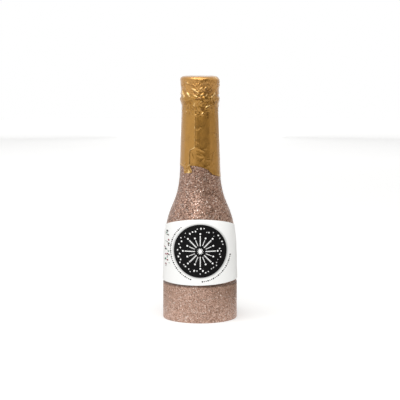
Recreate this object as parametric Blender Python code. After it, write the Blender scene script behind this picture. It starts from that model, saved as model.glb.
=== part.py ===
# Confetti popper bottle: a twist-base, compressed-air popper in the shape of a small champagne bottle.
# Metres, +Z up, the front faces -Y, and the origin is the middle of the underside.

import math

import bmesh
import bpy
from mathutils import Matrix, Vector

MM = 0.001

# Clearances
GAP = 0.3 * MM
SLIDE_GAP = 0.5 * MM
SEAL_GAP = 0.2 * MM

# Facets round a turned piece
OUTER_STEPS = 40
INNER_STEPS = 28
SMALL_STEPS = 16

# Bottle outline
BASE_RADIUS = 35.6 * MM
BODY_INSET = 0.5 * MM
BODY_TAPER = 0.3 * MM
SHOULDER_FOOT = 56.0 * MM
SHOULDER_HANDLE = 61.0 * MM
NECK_FOOT = 146.0 * MM
NECK_FOOT_RADIUS = 18.95 * MM
NECK_HANDLE = 46.0 * MM
NECK_TOP_RADIUS = 17.15 * MM
NECK_TOP = 199.0 * MM
RIM_HEIGHT = 216.2 * MM
RIM_FLARE = 0.2 * MM
COLLAR_DROP = 5.6 * MM
COLLAR_SWELL = 1.15 * MM
COLLAR_RISE = 7.0 * MM
COLLAR_FALL = 3.6 * MM
SHELL_WALL = 1.6 * MM
MOUTH_WALL = 1.45 * MM

# Twist base
BASE_HEIGHT = 36.2 * MM
BASE_WALL = 1.8 * MM
BASE_FLOOR = 2.0 * MM
BASE_FILLET = 2.0 * MM
BASE_LIP_DROP = 1.6 * MM
BASE_LIP_INSET = 0.7 * MM
FOOT_WIDTH = 7.6 * MM
FOOT_DEPTH = 0.8 * MM
STICKER_THICKNESS = 0.25 * MM

# Skirt of the shell, which reaches below the carrier, and the split ring that holds shell and base together
SKIRT_WALL = 1.6 * MM
SKIRT_REACH = 5.0 * MM
STEP_DEPTH = 3.5 * MM
STEP_RISE = 4.0 * MM
RING_BOTTOM = 20.0 * MM
RING_THICKNESS = 1.6 * MM
RING_WIDTH = 1.3 * MM
RING_BITE = 0.6 * MM
RING_SPLIT_DEG = 12.0

# Ribs that key the carrier and carry the breech block
RIB_COUNT = 3
RIB_WIDTH = 3.0 * MM
RIB_DEPTH = 2.7 * MM
RIB_START_DEG = 90.0
RIB_ROOT_SINK = 0.8 * MM

# Paper label
LABEL_THICKNESS = 0.3 * MM
LABEL_HALF_ANGLE = 105.0
LABEL_OVERHANG = 1.0 * MM
LABEL_FLARE_HEIGHT = 2.2 * MM
LABEL_FLARE = 0.28 * MM
LABEL_SIDE_TOP = 89.8 * MM
LABEL_ARCH = 9.0 * MM

# Foil on the neck: a wrap whose outer end laps over its inner end, with a hand-cut lower edge
FOIL_THICKNESS = 0.25 * MM
FOIL_EDGE_DEG = -17.0
FOIL_LAP_DEG = 12.0
FOIL_LAP_FADE_DEG = 18.0
# Drop of the hem below the foot of the neck, at each angle going left from the wrap's outer edge
FOIL_HEM = (
    (0.0, 4.1 * MM),
    (5.0, 4.7 * MM),
    (31.0, 5.9 * MM),
    (37.0, 2.8 * MM),
    (50.0, -0.6 * MM),
    (68.0, -1.8 * MM),
    (105.0, 1.0 * MM),
    (150.0, 5.0 * MM),
    (190.0, 6.6 * MM),
    (225.0, 8.6 * MM),
    (258.0, 10.0 * MM),
    (283.0, 9.0 * MM),
    (309.0, 6.4 * MM),
    (320.0, 2.8 * MM),
    (327.0, 1.0 * MM),
    (343.0, -0.9 * MM),
    (359.0, -1.9 * MM),
    (372.0, -2.3 * MM),
)

# Cap in the mouth, and the foil over it
HEAD_HEIGHT = 15.0 * MM
HEAD_OVERHANG = 0.1 * MM
HEAD_SWELL = 0.75 * MM
HEAD_SWELL_HEIGHT = 10.0 * MM
HEAD_FILLET = 3.8 * MM
HEAD_WALL = 1.6 * MM
PLUG_DEPTH = 10.0 * MM
PLUG_WALL = 1.2 * MM

# Launch tube and its load
TUBE_WALL = 1.2 * MM
LOAD_CLEARANCE = 0.35 * MM
WAD_THICKNESS = 5.0 * MM
WAD_CHAMFER = 0.8 * MM
STACK_COUNT = 3
STACK_CLEARANCE = 0.4 * MM
STACK_BEVEL = 0.4 * MM
COVER_THICKNESS = 0.8 * MM
COVER_DROP = 2.5 * MM

# Cam and carrier
LIFT = 4.0 * MM
TWIST_DEG = 60.0
CAM_BASE_THICKNESS = 1.9 * MM
CAM_MARGIN = 1.2 * MM
RAMP_WIDTH = 5.3 * MM
RAMP_LOW = 0.7 * MM
FOLLOWER_DEG = 15.0
STOP_DEG = 4.0
STOP_CLEARANCE_DEG = 1.0
STOP_RISE = 1.5 * MM
CARRIER_CLEARANCE = 0.6 * MM
CARRIER_THICKNESS = 2.8 * MM
CARRIER_CUP_WALL = 1.4 * MM
CARRIER_CUP_HEIGHT = 14.0 * MM

# Air cylinder
CYLINDER_RADIUS = 21.7 * MM
CYLINDER_HEIGHT = 56.0 * MM
CYLINDER_WALL = 1.1 * MM
CYLINDER_DOME = 11.5 * MM
CYLINDER_NECK_WALL = 2.2 * MM
CYLINDER_NECK_LENGTH = 4.5 * MM
CYLINDER_FOOT_FILLET = 2.2 * MM
CYLINDER_DISH_DEPTH = 2.6 * MM
CYLINDER_DISH_INSET = 5.7 * MM

# Valve in the cylinder's neck
VALVE_TAIL_RADIUS = 6.0 * MM
VALVE_TAIL_LENGTH = 16.3 * MM
VALVE_TAIL_WALL = 1.6 * MM
VALVE_HEX_RADIUS = 10.0 * MM
VALVE_HEX_THICKNESS = 2.3 * MM
VALVE_SEAT_DEPTH = 0.6 * MM
NOZZLE_RADIUS = 5.8 * MM
NOZZLE_LENGTH = 13.3 * MM
NOZZLE_BORE = 2.7 * MM
SNAP_GROOVE_INSET = 0.5 * MM
SNAP_GROOVE_DEPTH = 0.5 * MM
RETAINER_THICKNESS = 1.5 * MM
RETAINER_HOLE = 1.9 * MM
WASHER_THICKNESS = 1.5 * MM
WASHER_CLEARANCE = 0.5 * MM
POPPET_CLEARANCE = 0.7 * MM
POPPET_HEAD_THICKNESS = 1.8 * MM
POPPET_BOSS_RADIUS = 1.4 * MM
POPPET_BOSS_LENGTH = 3.6 * MM
STEM_RADIUS = 1.3 * MM
STEM_PROUD = 0.3 * MM
O_RING_DROP = 3.4 * MM
O_RING_WIRE = 0.6 * MM
O_RING_GROOVE_WIDTH = 2.0 * MM

# Breech block and its pin
BREECH_CLEARANCE = 1.0 * MM
BREECH_FLANGE_THICKNESS = 3.0 * MM
BREECH_HUB_WALL = 3.4 * MM
BREECH_HUB_DROP = 4.0 * MM
BREECH_BODY_WALL = 1.2 * MM
BREECH_PLATE_CLEARANCE = 3.0 * MM
BREECH_PLATE_THICKNESS = 2.5 * MM
SPIGOT_WALL = 1.6 * MM
SPIGOT_HEIGHT = 8.3 * MM
VENT_COUNT = 3
VENT_RADIUS = 1.5 * MM
VENT_CIRCLE_RADIUS = 4.4 * MM
PIN_RADIUS = 1.2 * MM
PIN_HEAD_RADIUS = 2.3 * MM
PIN_HEAD_THICKNESS = 1.1 * MM

# Springs
VALVE_SPRING_RADIUS = 2.7 * MM
VALVE_SPRING_WIRE = 0.25 * MM
VALVE_SPRING_TURNS = 6
RETURN_SPRING_RADIUS = 13.2 * MM
RETURN_SPRING_WIRE = 0.6 * MM
RETURN_SPRING_TURNS = 4
RETURN_SPRING_POCKET_DEPTH = 7.7 * MM
SPRING_SEAT_RADIUS = 16.5 * MM
SPRING_SEAT_THICKNESS = 1.5 * MM
SPRING_SEAT_LIP = 1.5 * MM
SPRING_SEAT_LIP_WIDTH = 1.3 * MM

# How far a cutter runs past the faces it cuts
CUT_PAST = 1.0 * MM

# Radii that follow from the sizes above
BODY_RADIUS = BASE_RADIUS - BODY_INSET
BASE_INNER = BASE_RADIUS - BASE_WALL
FOOT_INNER = BASE_RADIUS - FOOT_WIDTH
SKIRT_OUTER = BASE_INNER - GAP
SKIRT_INNER = SKIRT_OUTER - SKIRT_WALL
RING_INNER = SKIRT_OUTER - RING_BITE
RIB_INNER = SKIRT_INNER - RIB_DEPTH
RIM_RADIUS = NECK_TOP_RADIUS + RIM_FLARE
MOUTH_BORE = NECK_TOP_RADIUS - MOUTH_WALL
HEAD_FOOT_RADIUS = RIM_RADIUS + HEAD_OVERHANG
HEAD_RADIUS = HEAD_FOOT_RADIUS + HEAD_SWELL
TUBE_OUTER = MOUTH_BORE - GAP
TUBE_INNER = TUBE_OUTER - TUBE_WALL
LOAD_RADIUS = TUBE_INNER - LOAD_CLEARANCE
STACK_SIDE = math.sqrt(2) * (LOAD_RADIUS - STACK_CLEARANCE)
SPIGOT_RADIUS = TUBE_INNER - GAP
BREECH_BODY_RADIUS = TUBE_OUTER + BREECH_BODY_WALL
BREECH_BORE = NOZZLE_RADIUS + GAP
CAM_OUTER = SKIRT_INNER - CAM_MARGIN
RAMP_OUTER = CAM_OUTER - CAM_MARGIN
RAMP_INNER = RAMP_OUTER - RAMP_WIDTH
CAM_INNER = RAMP_INNER - CAM_MARGIN
CYLINDER_NECK_BORE = VALVE_TAIL_RADIUS + GAP
CYLINDER_NECK_RADIUS = CYLINDER_NECK_BORE + CYLINDER_NECK_WALL
CHAMBER_RADIUS = VALVE_TAIL_RADIUS - VALVE_TAIL_WALL
SNAP_RADIUS = CHAMBER_RADIUS + SNAP_GROOVE_DEPTH
WASHER_RADIUS = CHAMBER_RADIUS - WASHER_CLEARANCE
POPPET_HEAD_RADIUS = CHAMBER_RADIUS - POPPET_CLEARANCE

# Heights that follow from the sizes above, from the floor up
SEAM_TOP = BASE_HEIGHT + GAP
SKIRT_TOP = SEAM_TOP + STEP_DEPTH
FLOOR_TOP = FOOT_DEPTH + BASE_FLOOR
RING_SLOT_BOTTOM = RING_BOTTOM - GAP
RING_SLOT_TOP = RING_BOTTOM + RING_THICKNESS + GAP
LABEL_BOTTOM = BASE_HEIGHT - LABEL_OVERHANG
LIFT_PER_DEG = LIFT / TWIST_DEG
RAMP_SPAN_DEG = TWIST_DEG + FOLLOWER_DEG + 2 * STOP_CLEARANCE_DEG
CAM_BOTTOM = FLOOR_TOP + GAP
CAM_BASE_TOP = CAM_BOTTOM + CAM_BASE_THICKNESS
RAMP_START = CAM_BASE_TOP + RAMP_LOW
STOP_TOP = RAMP_START + LIFT_PER_DEG * RAMP_SPAN_DEG + STOP_RISE
CARRIER_FLOOR = STOP_TOP + CARRIER_CLEARANCE
SKIRT_BOTTOM = CARRIER_FLOOR - SKIRT_REACH
CARRIER_FLOOR_TOP = CARRIER_FLOOR + CARRIER_THICKNESS
CYLINDER_BOTTOM = CARRIER_FLOOR_TOP + GAP
CYLINDER_TOP = CYLINDER_BOTTOM + CYLINDER_HEIGHT
CYLINDER_SHOULDER = CYLINDER_TOP - CYLINDER_NECK_LENGTH - CYLINDER_DOME
SPRING_SEAT_TOP = CYLINDER_SHOULDER + CYLINDER_DOME + GAP + SPRING_SEAT_THICKNESS
VALVE_HEX_BOTTOM = CYLINDER_TOP + GAP
VALVE_HEX_TOP = VALVE_HEX_BOTTOM + VALVE_HEX_THICKNESS
VALVE_TAIL_BOTTOM = VALVE_HEX_BOTTOM - VALVE_TAIL_LENGTH
VALVE_SEAT = VALVE_HEX_TOP - VALVE_SEAT_DEPTH
NOZZLE_TOP = VALVE_HEX_TOP + NOZZLE_LENGTH
O_RING_HEIGHT = NOZZLE_TOP - O_RING_DROP
SNAP_GROOVE_BOTTOM = VALVE_TAIL_BOTTOM + SNAP_GROOVE_INSET
SNAP_GROOVE_TOP = SNAP_GROOVE_BOTTOM + RETAINER_THICKNESS + 2 * GAP
RETAINER_BOTTOM = SNAP_GROOVE_BOTTOM + GAP
RETAINER_TOP = RETAINER_BOTTOM + RETAINER_THICKNESS
WASHER_TOP = VALVE_SEAT - GAP
WASHER_BOTTOM = WASHER_TOP - WASHER_THICKNESS
POPPET_HEAD_TOP = WASHER_BOTTOM - GAP
POPPET_HEAD_BOTTOM = POPPET_HEAD_TOP - POPPET_HEAD_THICKNESS
STEM_TOP = NOZZLE_TOP + STEM_PROUD
PIN_TIP = STEM_TOP + GAP
BREECH_HUB_BOTTOM = VALVE_HEX_TOP + LIFT + BREECH_CLEARANCE
BREECH_BOTTOM = BREECH_HUB_BOTTOM + BREECH_HUB_DROP
BREECH_FLANGE_TOP = BREECH_BOTTOM + BREECH_FLANGE_THICKNESS
RETURN_SPRING_POCKET = BREECH_BOTTOM + RETURN_SPRING_POCKET_DEPTH
BREECH_PLATE_BOTTOM = NOZZLE_TOP + LIFT + BREECH_PLATE_CLEARANCE
BREECH_PLATE_TOP = BREECH_PLATE_BOTTOM + BREECH_PLATE_THICKNESS
SPIGOT_TOP = BREECH_PLATE_TOP + SPIGOT_HEIGHT
RIB_BOTTOM = CARRIER_FLOOR + GAP
RIB_TOP = BREECH_BOTTOM - GAP
TUBE_BOTTOM = BREECH_PLATE_TOP + GAP
COLLAR_HEIGHT = RIM_HEIGHT - COLLAR_DROP
HEAD_FOOT = RIM_HEIGHT + GAP
HEAD_TOP = HEAD_FOOT + HEAD_HEIGHT
FOIL_TOP = RIM_HEIGHT - GAP
PLUG_BOTTOM = HEAD_FOOT - PLUG_DEPTH
TUBE_TOP = PLUG_BOTTOM - GAP
WAD_BOTTOM = SPIGOT_TOP + GAP
WAD_TOP = WAD_BOTTOM + WAD_THICKNESS
COVER_BOTTOM = TUBE_TOP - COVER_DROP - COVER_THICKNESS
LOWER_TIER = WAD_TOP + GAP
STACK_LENGTH = (COVER_BOTTOM - LOWER_TIER - 2 * GAP) / 2
UPPER_TIER = LOWER_TIER + STACK_LENGTH + GAP


# Helpers

def clear_scene():
    for old in list(bpy.data.objects):
        bpy.data.objects.remove(old, do_unlink=True)


def material(name, color, roughness, metallic=0.0):
    made = bpy.data.materials.new(name)
    made.use_nodes = True
    shader = made.node_tree.nodes["Principled BSDF"]
    shader.inputs["Base Color"].default_value = (*color, 1.0)
    shader.inputs["Roughness"].default_value = roughness
    shader.inputs["Metallic"].default_value = metallic
    made.diffuse_color = (*color, 1.0)
    return made


def link(made, parent):
    bpy.context.scene.collection.objects.link(made)
    made.parent = parent
    return made


def add_object(name, mesh, finish, parent=None):
    mesh.materials.append(finish)
    return link(bpy.data.objects.new(name, mesh), parent)


# Every joint of the popper turns or slides on the bottle's own axis, so each empty stands on the origin.
def joint_empty(name, parent=None):
    return link(bpy.data.objects.new(name, None), parent)


def mesh_from(bm, name, sharp_deg=35.0):
    bmesh.ops.recalc_face_normals(bm, faces=bm.faces)
    mesh = bpy.data.meshes.new(name)
    bm.to_mesh(mesh)
    bm.free()
    mesh.shade_smooth()
    mesh.set_sharp_from_angle(angle=math.radians(sharp_deg))
    return mesh


# A closed outline of (radius, height) points spun round the Z axis; points on the axis become its poles.
def turned(name, outline, steps=INNER_STEPS):
    bm = bmesh.new()
    corners = [bm.verts.new((radius, 0.0, height)) for radius, height in outline]
    pairs = list(zip(corners, corners[1:] + corners[:1]))
    on_axis = [radius < 1e-9 for radius, height in outline]
    edges = []
    for index, (first, second) in enumerate(pairs):
        if on_axis[index] and on_axis[(index + 1) % len(corners)]:
            continue
        edges.append(bm.edges.new((first, second)))
    bmesh.ops.spin(
        bm, geom=edges, cent=(0, 0, 0), axis=(0, 0, 1), angle=math.tau, steps=steps, use_merge=True
    )
    bmesh.ops.remove_doubles(bm, verts=bm.verts, dist=1e-7)
    return mesh_from(bm, name)


def arc(center, radii, start_deg, end_deg, steps):
    points = []
    for step in range(steps + 1):
        angle = math.radians(start_deg + (end_deg - start_deg) * step / steps)
        points.append((center[0] + radii[0] * math.cos(angle), center[1] + radii[1] * math.sin(angle)))
    return points


# A sheet with an inner and an outer face over a grid of angles and rows, closed along its four edges.
# place(column, row) gives the angle in degrees, the inner radius and the height of a grid point.
def sheet(name, columns, rows, thickness, place):
    bm = bmesh.new()
    layers = []
    for extra in (0.0, thickness):
        grid = []
        for column in range(columns):
            line = []
            for row in range(rows):
                angle_deg, radius, height = place(column, row)
                angle = math.radians(angle_deg)
                reach = radius + extra
                line.append(bm.verts.new((reach * math.sin(angle), -reach * math.cos(angle), height)))
            grid.append(line)
        layers.append(grid)
    inner, outer = layers
    for grid in layers:
        for left, right in zip(grid, grid[1:]):
            for row in range(rows - 1):
                bm.faces.new((left[row], right[row], right[row + 1], left[row + 1]))
    for column in range(columns - 1):
        for row in (0, rows - 1):
            inside = (inner[column][row], inner[column + 1][row])
            bm.faces.new(inside + (outer[column + 1][row], outer[column][row]))
    for row in range(rows - 1):
        for column in (0, columns - 1):
            inside = (inner[column][row], inner[column][row + 1])
            bm.faces.new(inside + (outer[column][row + 1], outer[column][row]))
    return mesh_from(bm, name)


# A block between two radii, two angles and a lower and upper surface that may slope with the angle.
def sector(bm, radii, start_deg, end_deg, steps, lower, upper):
    rings = []
    for step in range(steps + 1):
        angle_deg = start_deg + (end_deg - start_deg) * step / steps
        angle = math.radians(angle_deg)
        ring = []
        for radius, surface in ((radii[0], lower), (radii[1], lower), (radii[1], upper), (radii[0], upper)):
            place = (radius * math.cos(angle), radius * math.sin(angle), surface(angle_deg))
            ring.append(bm.verts.new(place))
        rings.append(ring)
    for first, second in zip(rings, rings[1:]):
        for side in range(4):
            other = (side + 1) % 4
            bm.faces.new((first[side], first[other], second[other], second[side]))
    bm.faces.new(rings[0])
    bm.faces.new(rings[-1])


def sector_mesh(name, radii, start_deg, end_deg, steps, lower, upper):
    bm = bmesh.new()
    sector(bm, radii, start_deg, end_deg, steps, lower, upper)
    return mesh_from(bm, name)


def box_mesh(name, size, center):
    bm = bmesh.new()
    bmesh.ops.create_cube(bm, size=1.0)
    bmesh.ops.scale(bm, vec=Vector(size), verts=bm.verts)
    bmesh.ops.translate(bm, vec=Vector(center), verts=bm.verts)
    return mesh_from(bm, name)


def round_bar_mesh(name, radius, bottom, top, steps=SMALL_STEPS, center=(0.0, 0.0)):
    bm = bmesh.new()
    bmesh.ops.create_cone(
        bm, cap_ends=True, segments=steps, radius1=radius, radius2=radius, depth=top - bottom
    )
    bmesh.ops.translate(bm, vec=(center[0], center[1], (top + bottom) / 2), verts=bm.verts)
    return mesh_from(bm, name)


def turned_about_z(mesh, angle_deg):
    mesh.transform(Matrix.Rotation(math.radians(angle_deg), 4, "Z"))
    return mesh


# A hidden helper solid that a Boolean of the piece uses.
def tool(piece, mesh, operation):
    helper = link(bpy.data.objects.new(mesh.name, mesh), piece)
    helper.hide_render = True
    helper.display_type = "WIRE"
    step = piece.modifiers.new(mesh.name, "BOOLEAN")
    step.operation = operation
    step.object = helper
    return helper


def coil(name, radius, wire, bottom, top, turns, finish, parent=None):
    lowest = bottom + wire
    highest = top - wire
    per_turn = 10
    count = turns * per_turn
    curve = bpy.data.curves.new(name, "CURVE")
    curve.dimensions = "3D"
    curve.bevel_depth = wire
    curve.bevel_resolution = 1
    curve.use_fill_caps = True
    spline = curve.splines.new("POLY")
    spline.points.add(count)
    for index in range(count + 1):
        angle = math.tau * index / per_turn
        height = lowest + (highest - lowest) * index / count
        spline.points[index].co = (radius * math.cos(angle), radius * math.sin(angle), height, 1.0)
    return add_object(name, curve, finish, parent)


# Outline of the bottle's outer surface

def blend(first, second, share):
    return first + (second - first) * share


def cosine_rise(share):
    return 0.5 * (1.0 - math.cos(math.pi * min(max(share, 0.0), 1.0)))


def shoulder_point(share):
    left = 1.0 - share
    weights = (left**3, 3 * left**2 * share, 3 * left * share**2, share**3)
    neck_slope = (NECK_FOOT_RADIUS - NECK_TOP_RADIUS) / (NECK_TOP - NECK_FOOT)
    body = BODY_RADIUS - BODY_TAPER
    radii = (body, body, NECK_FOOT_RADIUS + NECK_HANDLE * neck_slope, NECK_FOOT_RADIUS)
    heights = (SHOULDER_FOOT, SHOULDER_FOOT + SHOULDER_HANDLE, NECK_FOOT - NECK_HANDLE, NECK_FOOT)
    radius = sum(weight * value for weight, value in zip(weights, radii))
    height = sum(weight * value for weight, value in zip(weights, heights))
    return radius, height


def shell_radius(height):
    if height <= SHOULDER_FOOT:
        share = (height - SEAM_TOP) / (SHOULDER_FOOT - SEAM_TOP)
        return BODY_RADIUS - BODY_TAPER * share
    if height < NECK_FOOT:
        low, high = 0.0, 1.0
        for halving in range(40):
            middle = (low + high) / 2
            if shoulder_point(middle)[1] < height:
                low = middle
            else:
                high = middle
        return shoulder_point(low)[0]
    if height < NECK_TOP:
        return blend(NECK_FOOT_RADIUS, NECK_TOP_RADIUS, (height - NECK_FOOT) / (NECK_TOP - NECK_FOOT))
    plain = blend(NECK_TOP_RADIUS, RIM_RADIUS, (height - NECK_TOP) / (RIM_HEIGHT - NECK_TOP))
    reach = COLLAR_RISE if height < COLLAR_HEIGHT else COLLAR_FALL
    swell = cosine_rise(1.0 - abs(height - COLLAR_HEIGHT) / reach)
    return plain + COLLAR_SWELL * swell


def shell_inner_radius(height):
    return max(MOUTH_BORE, shell_radius(height) - SHELL_WALL)


def spaced(first, last, count):
    return [blend(first, last, index / (count - 1)) for index in range(count)]


# The head above its foot: it swells, then rounds over to its flat top.
def head_outline(offset):
    fillet = HEAD_FILLET + offset
    corner = arc((HEAD_RADIUS - HEAD_FILLET, HEAD_TOP - HEAD_FILLET), (fillet, fillet), 0, 90, 4)
    return [(HEAD_RADIUS + offset, HEAD_FOOT + HEAD_SWELL_HEIGHT)] + corner


# Shell and base

def rib_mesh(name, angle_deg):
    outline = [(RIB_INNER, RIB_BOTTOM), (SKIRT_INNER + RIB_ROOT_SINK, RIB_BOTTOM)]
    outline.append((SKIRT_INNER + RIB_ROOT_SINK, SKIRT_TOP))
    for height in spaced(SKIRT_TOP + STEP_RISE, RIB_TOP, 5):
        outline.append((shell_inner_radius(height) + RIB_ROOT_SINK, height))
    outline.append((RIB_INNER, RIB_TOP))
    bm = bmesh.new()
    corners = [bm.verts.new((radius, -RIB_WIDTH / 2, height)) for radius, height in outline]
    face = bm.faces.new(corners)
    side = bmesh.ops.extrude_face_region(bm, geom=[face])
    moved = [item for item in side["geom"] if isinstance(item, bmesh.types.BMVert)]
    bmesh.ops.translate(bm, vec=(0, RIB_WIDTH, 0), verts=moved)
    return turned_about_z(mesh_from(bm, name), angle_deg)


def rib_angles():
    return [RIB_START_DEG + 360.0 * index / RIB_COUNT for index in range(RIB_COUNT)]


def make_bottle_shell(finish):
    outline = [(SKIRT_INNER, SKIRT_BOTTOM), (SKIRT_OUTER, SKIRT_BOTTOM), (SKIRT_OUTER, RING_SLOT_BOTTOM)]
    outline += [(RING_INNER - GAP, RING_SLOT_BOTTOM), (RING_INNER - GAP, RING_SLOT_TOP)]
    outline += [(SKIRT_OUTER, RING_SLOT_TOP), (SKIRT_OUTER, SEAM_TOP)]
    outer = [SEAM_TOP] + spaced(SHOULDER_FOOT, NECK_FOOT, 15) + [(NECK_FOOT + NECK_TOP) / 2, NECK_TOP]
    outer += spaced(COLLAR_HEIGHT - COLLAR_RISE, COLLAR_HEIGHT, 5)
    outer += spaced(COLLAR_HEIGHT, COLLAR_HEIGHT + COLLAR_FALL, 4)[1:] + [RIM_HEIGHT]
    outline += [(shell_radius(height), height) for height in outer]
    inner = [RIM_HEIGHT] + spaced(NECK_TOP, NECK_FOOT, 4)
    inner += spaced(NECK_FOOT, SHOULDER_FOOT, 9)[1:] + [SKIRT_TOP + STEP_RISE]
    outline += [(shell_inner_radius(height), height) for height in inner]
    outline.append((SKIRT_INNER, SKIRT_TOP))
    shell = add_object("bottle_shell", turned("bottle_shell", outline, OUTER_STEPS), finish)
    for index, angle in enumerate(rib_angles()):
        tool(shell, rib_mesh(f"shell_rib_{index + 1}", angle), "UNION")
    return shell


def make_twist_base(finish, axis):
    ring_slot = RING_INNER + RING_WIDTH + GAP
    outline = [(0.0, FOOT_DEPTH), (FOOT_INNER, FOOT_DEPTH), (FOOT_INNER, 0.0)]
    outline += arc((BASE_RADIUS - BASE_FILLET, BASE_FILLET), (BASE_FILLET, BASE_FILLET), -90, 0, 5)
    outline += [(BASE_RADIUS, BASE_HEIGHT - BASE_LIP_DROP), (BASE_RADIUS - BASE_LIP_INSET, BASE_HEIGHT)]
    outline += [(BASE_INNER, BASE_HEIGHT), (BASE_INNER, RING_SLOT_TOP), (ring_slot, RING_SLOT_TOP)]
    outline += [(ring_slot, RING_SLOT_BOTTOM), (BASE_INNER, RING_SLOT_BOTTOM)]
    outline += [(BASE_INNER, FLOOR_TOP), (0.0, FLOOR_TOP)]
    return add_object("twist_base", turned("twist_base", outline, OUTER_STEPS), finish, axis)


def make_underside_sticker(finish, axis):
    top = FOOT_DEPTH - GAP
    mesh = round_bar_mesh("underside_sticker", FOOT_INNER - GAP, top - STICKER_THICKNESS, top, INNER_STEPS)
    return add_object("underside_sticker", mesh, finish, axis)


def make_retaining_ring(finish):
    mesh = sector_mesh(
        "retaining_ring",
        (RING_INNER, RING_INNER + RING_WIDTH),
        RING_SPLIT_DEG / 2,
        360.0 - RING_SPLIT_DEG / 2,
        OUTER_STEPS,
        lambda angle: RING_BOTTOM,
        lambda angle: RING_BOTTOM + RING_THICKNESS,
    )
    return add_object("retaining_ring", mesh, finish)


# Label and foil

def make_paper_label(finish):
    columns = 29
    low_rows = [LABEL_BOTTOM, LABEL_BOTTOM + LABEL_FLARE_HEIGHT / 2, LABEL_BOTTOM + LABEL_FLARE_HEIGHT]
    upper_rows = 7

    def place(column, row):
        angle = blend(-LABEL_HALF_ANGLE, LABEL_HALF_ANGLE, column / (columns - 1))
        top = LABEL_SIDE_TOP + LABEL_ARCH * math.cos(math.radians(angle))
        if row < len(low_rows):
            height = low_rows[row]
        else:
            height = blend(SHOULDER_FOOT, top, (row - len(low_rows)) / (upper_rows - 1))
        flare = LABEL_FLARE * max(0.0, 1.0 - (height - LABEL_BOTTOM) / LABEL_FLARE_HEIGHT)
        return angle, shell_radius(height) + GAP + flare, height

    mesh = sheet("paper_label", columns, len(low_rows) + upper_rows, LABEL_THICKNESS, place)
    return add_object("paper_label", mesh, finish)


def hem_height(turned_deg):
    for (first_deg, first), (second_deg, second) in zip(FOIL_HEM, FOIL_HEM[1:]):
        if turned_deg <= second_deg:
            drop = blend(first, second, (turned_deg - first_deg) / (second_deg - first_deg))
            return NECK_FOOT - drop
    return NECK_FOOT - FOIL_HEM[-1][1]


def make_foil_sleeve(finish):
    columns = 42
    neck_rows = 4
    top_rows = spaced(NECK_TOP, FOIL_TOP, 8)
    whole_turn = 360.0 + FOIL_LAP_DEG

    def place(column, row):
        turned_deg = whole_turn * column / (columns - 1)
        if row < neck_rows:
            height = blend(hem_height(turned_deg), NECK_TOP, row / neck_rows)
        else:
            height = top_rows[row - neck_rows]
        over = 1.0 - cosine_rise((turned_deg - FOIL_LAP_DEG) / FOIL_LAP_FADE_DEG)
        radius = shell_radius(height) + GAP + (FOIL_THICKNESS + GAP) * over
        return FOIL_EDGE_DEG - turned_deg, radius, height

    mesh = sheet("foil_sleeve", columns, neck_rows + len(top_rows), FOIL_THICKNESS, place)
    return add_object("foil_sleeve", mesh, finish)


def make_foil_head(finish, axis):
    inner = [(HEAD_FOOT_RADIUS + GAP, HEAD_FOOT + GAP)] + head_outline(GAP)
    outer = [(HEAD_FOOT_RADIUS + GAP + FOIL_THICKNESS, HEAD_FOOT + GAP)] + head_outline(GAP + FOIL_THICKNESS)
    outline = outer + [(0.0, HEAD_TOP + GAP + FOIL_THICKNESS), (0.0, HEAD_TOP + GAP)] + inner[::-1]
    return add_object("foil_head", turned("foil_head", outline, OUTER_STEPS), finish, axis)


# Cap, tube and load

def make_mouth_cap(finish, axis):
    plug_inner = TUBE_OUTER - PLUG_WALL
    outline = [(plug_inner, PLUG_BOTTOM), (TUBE_OUTER, PLUG_BOTTOM), (TUBE_OUTER, HEAD_FOOT)]
    outline += [(HEAD_FOOT_RADIUS, HEAD_FOOT)] + head_outline(0.0) + [(0.0, HEAD_TOP)]
    hollow = [point for point in head_outline(-HEAD_WALL) if point[1] > HEAD_FOOT + HEAD_WALL]
    outline += [(0.0, HEAD_TOP - HEAD_WALL)] + hollow[::-1]
    outline += [(HEAD_FOOT_RADIUS - HEAD_WALL, HEAD_FOOT + HEAD_WALL), (plug_inner, HEAD_FOOT + HEAD_WALL)]
    return add_object("mouth_cap", turned("mouth_cap", outline), finish, axis)


def make_launch_tube(finish):
    outline = [(TUBE_INNER, TUBE_BOTTOM), (TUBE_OUTER, TUBE_BOTTOM)]
    outline += [(TUBE_OUTER, TUBE_TOP), (TUBE_INNER, TUBE_TOP)]
    return add_object("launch_tube", turned("launch_tube", outline), finish)


def make_pusher_wad(finish, axis):
    outline = [(0.0, WAD_BOTTOM), (LOAD_RADIUS - WAD_CHAMFER, WAD_BOTTOM)]
    outline += [(LOAD_RADIUS, WAD_BOTTOM + WAD_CHAMFER), (LOAD_RADIUS, WAD_TOP), (0.0, WAD_TOP)]
    return add_object("pusher_wad", turned("pusher_wad", outline), finish, axis)


def make_slip_stack(name, bottom, place, turn_deg, finish, axis):
    thickness = (STACK_SIDE - (STACK_COUNT - 1) * GAP) / STACK_COUNT
    center = (place - (STACK_COUNT - 1) / 2) * (thickness + GAP)
    mesh = box_mesh(name, (STACK_SIDE, thickness, STACK_LENGTH), (0, center, bottom + STACK_LENGTH / 2))
    stack = add_object(name, turned_about_z(mesh, turn_deg), finish, axis)
    bevel = stack.modifiers.new("corners", "BEVEL")
    bevel.width = STACK_BEVEL
    bevel.segments = 1
    return stack


def make_cover_disc(finish, axis):
    top = COVER_BOTTOM + COVER_THICKNESS
    mesh = round_bar_mesh("cover_disc", LOAD_RADIUS, COVER_BOTTOM, top, INNER_STEPS)
    return add_object("cover_disc", mesh, finish, axis)


# Breech block and the pin that opens the valve

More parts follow.
